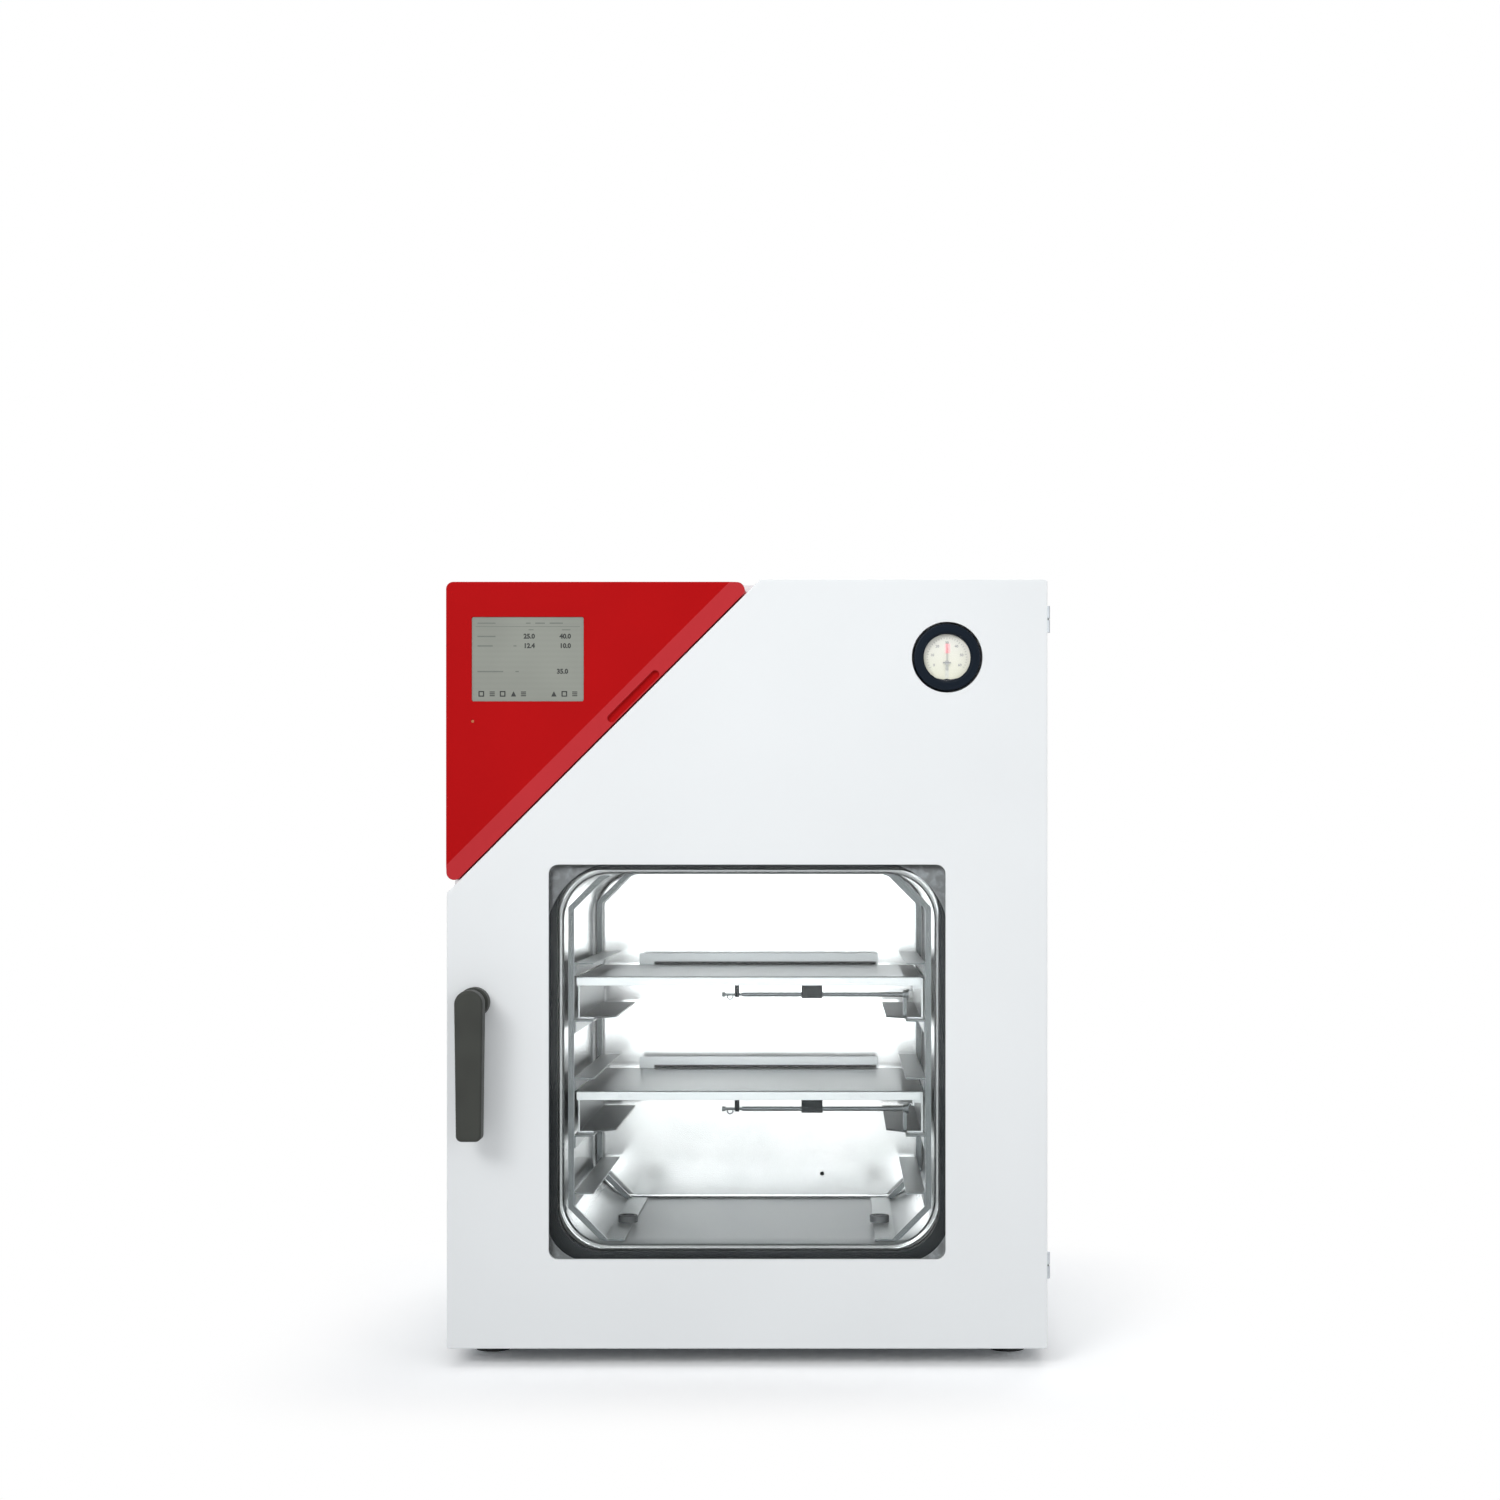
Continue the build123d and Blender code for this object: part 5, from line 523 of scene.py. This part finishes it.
# Each finish, its maker and the CAD nodes that wear it.
FINISHES = {
    "powder": (powder_coated_steel,
               ["outer_jacket", "front_frame", "rear_panel", "door_skin", "gauge_collar"]),
    "stainless": (polished_stainless,
                  ["inner_chamber", "vacuum_port", "temperature_sensor", "vacuum_pipes"]),
    "wire": (drawn_stainless, ["left_rack_frame", "right_rack_frame", "hinge_pins", "pane_springs",
                               "lower_clamp_rod", "upper_clamp_rod"]),
    "zinc": (zinc_plated_steel,
             ["base_pan", "housing_screws", "flange_nuts", "chamber_saddle", "compartment_floor",
              "power_supply", "latch_keeper", "housing_hinge_halves", "door_hinge_halves",
              "spring_rails", "pane_bolts", "handle_spindle", "latch_cam"]),
    "aluminium": (rolled_aluminium,
                  ["lower_tray", "upper_tray", "lower_shoe", "upper_shoe", "vacuum_manifold"]),
    "red": (moulded_abs_red, ["control_panel"]),
    "handle": (lambda: moulded_plastic("moulded_polyamide_anthracite", finishes().anthracite,
                                       0.7, 0.5, 1.6, 0.2), ["lever_handle", "handle_boss"]),
    "ring": (lambda: moulded_plastic("moulded_black_plastic", finishes().black, 0.6, 0.46, 0.8, 0.1),
             ["pane_carrier", "clamp_blocks", "mains_inlet", "switch_frame", "switch_rocker"]),
    "knobs": (lambda: moulded_plastic("moulded_grey_plastic", linear("#55585A"), 0.6, 0.4, 0.8, 0.4),
              ["rack_knobs"]),
    "bezel": (lambda: moulded_plastic("moulded_blue_black_gauge_case", finishes().bezel, 0.9, 0.3, 0.6, 0.12),
              ["gauge_case"]),
    "feet": (lambda: moulded_rubber("moulded_black_rubber", finishes().rubber, 0.62), ["rubber_feet"]),
    "seal": (lambda: moulded_rubber("extruded_black_silicone", tone(finishes().rubber, 1.5), 0.5),
             ["chamber_gasket"]),
    "glazing": (lambda: moulded_rubber("extruded_grey_silicone", linear("#B2B6B8"), 0.6), ["pane_glazing"]),
    "screen": (display_film, ["touch_screen"]),
    "glass": (lambda: clear_pane("clear_float_glass", linear("#FDFFFE"), 0.0), ["inner_pane"]),
    "sheet": (lambda: clear_pane("clear_polycarbonate_sheet", linear("#FEFFFF"), 0.0),
              ["outer_pane", "gauge_lens"]),
    "dial": (printed_dial, ["gauge_dial"]),
    "needle": (enamelled_needle, ["gauge_pointer"]),
    "primer": (primed_steel, ["door_inner_panel"]),
    "board": (circuit_board, ["control_board", "display_board"]),
    "wool": (mineral_wool, ["insulation_wrap"]),
    "heater": (heater_mat, ["heater_mats"]),
    "brass": (turned_brass, ["gas_inlet_port", "solenoid_valves"]),
    "lamp": (lamp_lens, ["status_led"]),
}
CLEAR_NODES = ("inner_pane", "outer_pane", "gauge_lens")


def wear(keys):
    """Makes the finishes and gives them to the CAD nodes' slots; their meshes stay as they are."""
    for key in keys:
        maker, names = FINISHES[key]
        material = maker()
        for name in names:
            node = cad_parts[name]
            for place in node.material_slots:
                place.material = material
            if not node.material_slots:
                node.data.materials.append(material)
            if name in CLEAR_NODES:
                # The lamps shine through clear panes instead of being stopped by them.
                node.visible_shadow = False


# Meshes of the printed detail

class Sketch:
    """Collects flat shapes that face the front and makes one mesh of them, a print's thickness deep."""

    def __init__(self, front):
        self.front = front
        self.mesh = bmesh.new()

    def polygon(self, points):
        """A filled outline of (x, z) points, in metres."""
        depth = sizes().ink
        face = self.mesh.faces.new([self.mesh.verts.new((x, self.front, z)) for x, z in points])
        grown = bmesh.ops.extrude_face_region(self.mesh, geom=[face])
        moved = [v for v in grown["geom"] if isinstance(v, bmesh.types.BMVert)]
        bmesh.ops.translate(self.mesh, verts=moved, vec=(0, -depth, 0))

    def bar(self, x, z, width, height):
        half, tall = width / 2, height / 2
        self.polygon([(x - half, z - tall), (x + half, z - tall),
                      (x + half, z + tall), (x - half, z + tall)])

    def piece(self, name, material, body):
        bmesh.ops.remove_doubles(self.mesh, verts=self.mesh.verts, dist=1e-7)
        bmesh.ops.recalc_face_normals(self.mesh, faces=self.mesh.faces)
        data = bpy.data.meshes.new(name)
        self.mesh.to_mesh(data)
        self.mesh.free()
        return join_up(bpy.data.objects.new(name, data), material, body)


def join_up(piece, material, body):
    bpy.context.scene.collection.objects.link(piece)
    piece.data.materials.append(material)
    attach(piece, body)
    return piece


# A font's size beside the height of its digits, and how far the print is made bolder, in digit heights.
SIZE_PER_DIGIT, BOLDER = 1.38, 0.055


def figures(name, words, x, z, front, height, material, body):
    """Printed figures that face the front, made flat and turned upright."""
    text = bpy.data.curves.new(name, "FONT")
    text.body = words
    text.size = height * SIZE_PER_DIGIT
    text.align_x = "CENTER"
    text.align_y = "CENTER"
    text.extrude = sizes().ink / 2
    text.offset = height * BOLDER
    text.resolution_u = 3
    piece = bpy.data.objects.new(name, text)
    upright = Matrix.Rotation(math.pi / 2, 4, "X")
    piece.matrix_world = Matrix.Translation((x, front - sizes().ink / 2, z)) @ upright
    return join_up(piece, material, body)


# Places on the display, in mm to the right of and below the upper left corner of its seen part.
DISPLAY_VALUES = (("25.0", 60.5, 20.5), ("40.0", 98.5, 20.5), ("12.4", 60.5, 30.5),
                  ("10.0", 98.5, 30.5), ("35.0", 95.5, 57.5))
# Each bar that stands for a word: its left end, how far down it lies, its length and its thickness.
DISPLAY_LABELS = ((6, 6.5, 19, 1.0), (57, 6.5, 5, 1.0), (67, 6.5, 10, 1.2), (82, 6.5, 14, 1.2),
                  (6, 20.5, 19, 1.3), (6, 30.5, 16, 1.3), (44, 30.5, 3, 1.2), (6, 57.5, 27, 1.3),
                  (46, 57.5, 3.5, 1.2), (60, 13.5, 5, 0.9), (95, 13.5, 9, 0.9), (4, 10.2, 110, 0.45))
DISPLAY_ICONS = ((10, "frame"), (21.5, "bars"), (32.5, "frame"), (44, "triangle"), (54.5, "bars"),
                 (86.5, "triangle"), (97.5, "frame"), (108.5, "bars"))
ICON_ROW = 81.0
# Of a button's drawing, in half its width: where a frame's bars lie and how thick they are, and how far
# apart, long and thick the bars of a stack are.
FRAME_PLACE, FRAME_BAR, STACK_STEP, STACK_LENGTH, STACK_BAR = 0.85, 0.42, 0.7, 1.9, 0.36
# The screen's sheet is held this far behind the cover's edge all round.
SCREEN_EDGE = 4

# The dial's scale: where it starts, its steps and half a tick's width, in degrees.
DIAL_START, TICK_STEP, FIGURE_STEP, TICK_HALF = 210, 8, 40, 0.7
TICKS, FIGURES = 31, 7
# In lengths of a long tick: a short tick, and how far the figures stand inside the ticks' outer circle.
SHORT_TICK, FIGURE_INSET = 0.6, 2.4
# Marks on the dial and the needle: how far right and up of the middle, width and height, in mm.
SLOT_MARK, ZONE_MARK, WEIGHT_MARK = (0, -14.5, 3.8, 13), (0.6, 9.8, 5.6, 10), (0, -5.4, 8.5, 1.5)
# The dark mask at the dial's foot: its radius in mm, its ends in degrees and the steps of its arc, and
# then its notched upper edge, in mm from the middle.
MASK_RADIUS, MASK_START, MASK_STOP, MASK_STEPS = 29.5, 211, 329, 24
MASK_EDGE = ((15.5, -20.8), (4, -23.0), (0, -22.0), (-4, -23.0), (-15.5, -20.8))


class OvenPiece(bpy.types.Operator):
    """One piece or one group of like pieces of the oven."""

    bl_options = {"REGISTER"}


class OVEN_OT_sheet_metal(OvenPiece):
    """Dresses the powder-coated housing and door, and the zinc-plated sheet and screws"""

    bl_idname = "oven.sheet_metal"
    bl_label = "Sheet metal"

    def execute(self, context):
        wear(("powder", "primer", "zinc"))
        return {"FINISHED"}


class OVEN_OT_chamber(OvenPiece):
    """Dresses the polished chamber, its racks, shelves, seal and clamps, and adds a painted shadow in each
    tray's slot
    """

    bl_idname = "oven.chamber"
    bl_label = "Chamber and shelves"

    def execute(self, context):
        wear(("stainless", "wire", "aluminium", "seal", "knobs"))
        shade = enamelled("tray_slot_shadow", linear("#292C2E"))
        for name in ("lower_tray", "upper_tray"):
            width, height = sizes().slot_width, sizes().slot_height
            # A dark bar painted as the shadow in the slot at the foot of the upstand: it lies against the
            # upstand's front, a sheet's thickness before the tray's rear edge.
            slot = Sketch(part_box(name)[1][1] - sizes().tray_sheet)
            slot.bar(sizes().slot_x, tray_top(name) + height / 2, width, height)
            slot.piece(f"{name}_slot", shade, "housing")
        return {"FINISHED"}


def tray_top(name):
    """The top of the tray's plate, which its rear upstand stands above."""
    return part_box(name)[1][2] - sizes().upstand


class OVEN_OT_panes(OvenPiece):
    """Dresses the clear panes, their grey glazing strip and the black plastic ring around the window"""

    bl_idname = "oven.panes"
    bl_label = "Window"

    def execute(self, context):
        wear(("glass", "sheet", "ring", "glazing"))
        return {"FINISHED"}


class OVEN_OT_cover(OvenPiece):
    """Dresses the red control cover, its lamp and the screen"""

    bl_idname = "oven.cover"
    bl_label = "Control cover"

    def execute(self, context):
        wear(("red", "screen", "lamp"))
        return {"FINISHED"}


class OVEN_OT_inside(OvenPiece):
    """Dresses the insulation, heater mats, boards and valves behind the sheet metal"""

    bl_idname = "oven.inside"
    bl_label = "Inside"

    def execute(self, context):
        wear(("board", "wool", "heater", "brass"))
        return {"FINISHED"}


class OVEN_OT_handle(OvenPiece):
    """Dresses the lever and its boss, and the rubber feet"""

    bl_idname = "oven.handle"
    bl_label = "Handle and feet"

    def execute(self, context):
        wear(("handle", "feet"))
        return {"FINISHED"}


class OVEN_OT_display(OvenPiece):
    """Prints figures, lines and plain buttons on the display"""

    bl_idname = "oven.display"
    bl_label = "Display"

    def execute(self, context):
        low, high = screen_opening()
        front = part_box("touch_screen")[0][1]
        dark = enamelled("display_segment_dark", linear("#1C201E"))
        faint = enamelled("display_segment_faint", linear("#6C716B"))
        for i, (words, x, z) in enumerate(DISPLAY_VALUES):
            figures(f"display_value_{i}", words, low[0] + x * MM, high[2] - z * MM, front,
                    sizes().digit, dark, "housing")
        labels = Sketch(front)
        for x, z, width, height in DISPLAY_LABELS:
            labels.bar(low[0] + (x + width / 2) * MM, high[2] - z * MM, width * MM, height * MM)
        labels.piece("display_labels", faint, "housing")
        icons = Sketch(front)
        half = sizes().icon / 2
        for x, kind in DISPLAY_ICONS:
            x, z = low[0] + x * MM, high[2] - ICON_ROW * MM
            if kind == "frame":
                for a, b in ((0, 1), (0, -1), (1, 0), (-1, 0)):
                    icons.bar(x + a * half * FRAME_PLACE, z + b * half * FRAME_PLACE,
                              half * (2 if b else FRAME_BAR), half * (2 if a else FRAME_BAR))
            elif kind == "bars":
                for row in (-1, 0, 1):
                    icons.bar(x, z + row * half * STACK_STEP, half * STACK_LENGTH, half * STACK_BAR)
            else:
                icons.polygon([(x - half, z - half), (x + half, z - half), (x, z + half)])
        icons.piece("display_icons", dark, "housing")
        return {"FINISHED"}


def screen_opening():
    """The seen part of the screen."""
    low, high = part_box("touch_screen")
    edge = SCREEN_EDGE * MM
    return ((low[0] + edge, low[1], low[2] + edge), (high[0] - edge, high[1], high[2] - edge))


class OVEN_OT_gauge(OvenPiece):
    """Dresses the gauge and prints its scale, its red zone, its slot and the dark mask at its foot"""

    bl_idname = "oven.gauge"
    bl_label = "Gauge"

    def execute(self, context):
        wear(("bezel", "dial", "needle"))
        low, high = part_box("gauge_case")
        x, z = (low[0] + high[0]) / 2, (low[2] + high[2]) / 2
        front = dial_face()
        ink = enamelled("dial_ink_grey", linear("#8A8C8C"))
        dark = enamelled("dial_ink_dark", linear("#1E222A"))
        pale = enamelled("dial_ink_pale", linear("#B9BBB4"))
        ticks = Sketch(front)
        outer, tick = sizes().tick_radius, sizes().tick
        wide = math.radians(TICK_HALF)
        for i in range(TICKS):
            a = math.radians(DIAL_START - TICK_STEP * i)
            inner = outer - (tick if i % 5 == 0 else tick * SHORT_TICK)
            corners = ((inner, a + wide), (inner, a - wide), (outer, a - wide), (outer, a + wide))
            ticks.polygon([(x + r * math.cos(t), z + r * math.sin(t)) for r, t in corners])
        ticks.piece("dial_ticks", ink, "housing")
        reach = outer - tick * FIGURE_INSET
        for i in range(FIGURES):
            a = math.radians(DIAL_START - FIGURE_STEP * i)
            figures(f"dial_figure_{i}", str(i * 10), x + reach * math.cos(a), z + reach * math.sin(a),
                    front, sizes().dial_digit, ink, "housing")
        red = enamelled("dial_ink_pale_red", linear("#DDB0B2"))
        needle_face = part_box("gauge_pointer")[0][1]
        for name, face, shade, body, (right, up, width, height) in (
                ("dial_slot", front, pale, "housing", SLOT_MARK),
                ("dial_zone", front, red, "housing", ZONE_MARK),
                ("needle_counterweight", needle_face, ink, "gauge_needle", WEIGHT_MARK)):
            mark = Sketch(face)
            mark.bar(x + right * MM, z + up * MM, width * MM, height * MM)
            mark.piece(name, shade, body)
        mask = Sketch(front)
        step = (MASK_STOP - MASK_START) / MASK_STEPS
        turns = [math.radians(MASK_START + step * i) for i in range(MASK_STEPS + 1)]
        arc = [(MASK_RADIUS * math.cos(t), MASK_RADIUS * math.sin(t)) for t in turns]
        mask.polygon([(x + right * MM, z + up * MM) for right, up in (*arc, *MASK_EDGE)])
        mask.piece("dial_mask", dark, "housing")
        return {"FINISHED"}


def dial_face():
    """The front of the dial's plate: its lowest Y is that plate."""
    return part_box("gauge_dial")[0][1]


class OVEN_OT_stage(OvenPiece):
    """Makes the white floor and surround, the soft lamps and the camera"""

    bl_idname = "oven.stage"
    bl_label = "Stage"

    def execute(self, context):
        scene = context.scene
        scene.view_settings.view_transform = "Standard"
        make_world(scene)
        make_floor(scene)
        make_lamps(scene)
        make_camera(scene)
        return {"FINISHED"}


# The world's strength as light, the floor's level as the camera sees it and half its width in metres.
WORLD_STRENGTH, SEEN_FLOOR, FLOOR_HALF = 0.50, 1.27, 14.0
# The camera's lens in mm on a 36 mm sensor, and how far its picture is shifted sideways and up.
CAMERA_LENS, CAMERA_SHIFT = 56.4, (-0.0587, 0.0701)


def seen_rays(tree):
    """1 for the rays that see the background: from the camera, off gloss and through glass."""
    rays = add_node(tree, "ShaderNodeLightPath")
    first = worked_out(tree, "MAXIMUM", rays.outputs["Is Camera Ray"], rays.outputs["Is Glossy Ray"])
    return worked_out(tree, "MAXIMUM", first, rays.outputs["Is Transmission Ray"])


def make_world(scene):
    world = bpy.data.worlds.new("white_studio")
    scene.world = world
    world.use_nodes = True
    tree = world.node_tree
    tree.nodes.clear()
    light = add_node(tree, "ShaderNodeBackground",
                     {"Color": (*linear("#F5F7FA"), 1), "Strength": WORLD_STRENGTH})
    seen = add_node(tree, "ShaderNodeBackground", {"Color": (1, 1, 1, 1), "Strength": 1.0})
    mix = add_node(tree, "ShaderNodeMixShader",
                   {0: seen_rays(tree), 1: light.outputs[0], 2: seen.outputs[0]})
    add_node(tree, "ShaderNodeOutputWorld", {"Surface": mix.outputs[0]})


def make_floor(scene):
    """A white floor: it takes the object's shadow near it, and is plain white further out."""
    half = FLOOR_HALF
    data = bpy.data.meshes.new("studio_floor")
    corners = [(-half, -half, 0), (half, -half, 0), (half, half, 0), (-half, half, 0)]
    data.from_pydata(corners, [], [(0, 1, 2, 3)])
    floor = bpy.data.objects.new("studio_floor", data)
    scene.collection.objects.link(floor)
    material = bpy.data.materials.new("white_studio_floor")
    material.use_nodes = True
    tree = material.node_tree
    tree.nodes.clear()
    place = add_node(tree, "ShaderNodeTexCoord").outputs["Object"]
    grain = speckle(tree, place, 30, 2.0)
    seen = seen_rays(tree)
    # The paper looks whiter to the camera than the light that it sends back to the oven.
    sent = shades(tree, grain, (0.3, grey(0.70)), (0.7, grey(0.72)))
    matt = add_node(tree, "ShaderNodeBsdfDiffuse", {"Color": blend(tree, seen, sent, grey(SEEN_FLOOR))})
    plain = add_node(tree, "ShaderNodeEmission", {"Color": (1, 1, 1, 1), "Strength": 1.0})
    # The distance to the oven's outline on the floor, which is taken as centred on the origin.
    low, high = CAD_BOX
    half_size = ((high[0] - low[0]) / 2, (high[1] - low[1]) / 2, 1)
    side = vector_step(tree, "ABSOLUTE", place).outputs["Vector"]
    past = vector_step(tree, "SUBTRACT", side, half_size).outputs["Vector"]
    past = vector_step(tree, "MAXIMUM", past, (0, 0, 0)).outputs["Vector"]
    reach = vector_step(tree, "LENGTH", past).outputs["Value"]
    far = ramp(tree, reach, 0.0, sizes().white_floor, interpolation_type="SMOOTHSTEP")
    shown = worked_out(tree, "MULTIPLY", far, seen)
    mix = add_node(tree, "ShaderNodeMixShader", {0: shown, 1: matt.outputs[0], 2: plain.outputs[0]})
    add_node(tree, "ShaderNodeOutputMaterial", {"Surface": mix.outputs[0]})
    data.materials.append(material)


# Lamp: name, place, what it looks at, width and height, power, and the angle of its grid in degrees.
LAMPS = (
    ("key_softbox", (-1.3, -2.6, 2.1), (0.0, -0.2, 0.86), (1.6, 1.6), 4.5, 46),
    ("fill_softbox", (2.2, -2.4, 1.3), (0.0, -0.2, 0.82), (1.8, 1.8), 2.6, 60),
    ("window_softbox", (-0.1, -2.7, 0.30), (0.0, 0.1, 0.33), (0.9, 0.5), 1.7, 120),
    ("top_softbox", (0.0, 0.1, 2.6), (0.0, 0.0, 0.4), (2.2, 2.2), 11.0, 180),
    ("rear_softbox", (0.8, 2.6, 1.7), (0.0, 0.2, 0.5), (1.8, 1.8), 18.0, 180),
)


def make_lamps(scene):
    for name, place, target, (width, height), power, grid in LAMPS:
        lamp = bpy.data.lights.new(name, "AREA")
        lamp.shape = "RECTANGLE"
        lamp.size, lamp.size_y, lamp.energy = width, height, power
        lamp.spread = math.radians(grid)
        holder = bpy.data.objects.new(name, lamp)
        holder.location = place
        holder.rotation_euler = (Vector(target) - Vector(place)).to_track_quat("-Z", "Y").to_euler()
        scene.collection.objects.link(holder)


def make_camera(scene):
    data = bpy.data.cameras.new("front_camera")
    data.sensor_width = 36
    data.lens = CAMERA_LENS
    data.shift_x, data.shift_y = CAMERA_SHIFT
    camera = bpy.data.objects.new("front_camera", data)
    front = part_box("door_skin")[0][1]
    camera.location = (sizes().camera_x, front - sizes().camera_distance, sizes().camera_z)
    camera.rotation_euler = (math.pi / 2, 0, 0)
    data.clip_end = 60
    scene.collection.objects.link(camera)
    scene.camera = camera


PIECES = (OVEN_OT_stage, OVEN_OT_sheet_metal, OVEN_OT_chamber, OVEN_OT_panes, OVEN_OT_cover, OVEN_OT_inside,
          OVEN_OT_handle, OVEN_OT_display, OVEN_OT_gauge)


class OVEN_PT_sidebar(bpy.types.Panel):
    """Lists the oven's settings and pieces"""

    bl_idname = "OVEN_PT_sidebar"
    bl_label = "Vacuum drying oven"
    bl_space_type = "VIEW_3D"
    bl_region_type = "UI"
    bl_category = "Oven"

    def draw(self, context):
        for title, group in (("Colours", context.scene.oven_finishes), ("Sizes", context.scene.oven_sizes)):
            box = self.layout.box()
            box.label(text=title)
            for name in group.bl_rna.properties.keys():
                if name not in ("name", "rna_type"):
                    box.prop(group, name)
        column = self.layout.column(align=True)
        for piece in PIECES:
            column.operator(piece.bl_idname)


CLASSES = (OvenFinishSettings, OvenSizeSettings, *PIECES, OVEN_PT_sidebar)


def register():
    for kind in CLASSES:
        bpy.utils.register_class(kind)
    bpy.types.Scene.oven_finishes = PointerProperty(type=OvenFinishSettings)
    bpy.types.Scene.oven_sizes = PointerProperty(type=OvenSizeSettings)


def unregister():
    del bpy.types.Scene.oven_sizes
    del bpy.types.Scene.oven_finishes
    for kind in reversed(CLASSES):
        bpy.utils.unregister_class(kind)


def main():
    """Registers the classes and makes each piece in order."""
    register()
    for piece in PIECES:
        module, name = piece.bl_idname.split(".")
        getattr(getattr(bpy.ops, module), name)()
    bpy.context.view_layer.update()


if __name__ == "__main__":
    main()
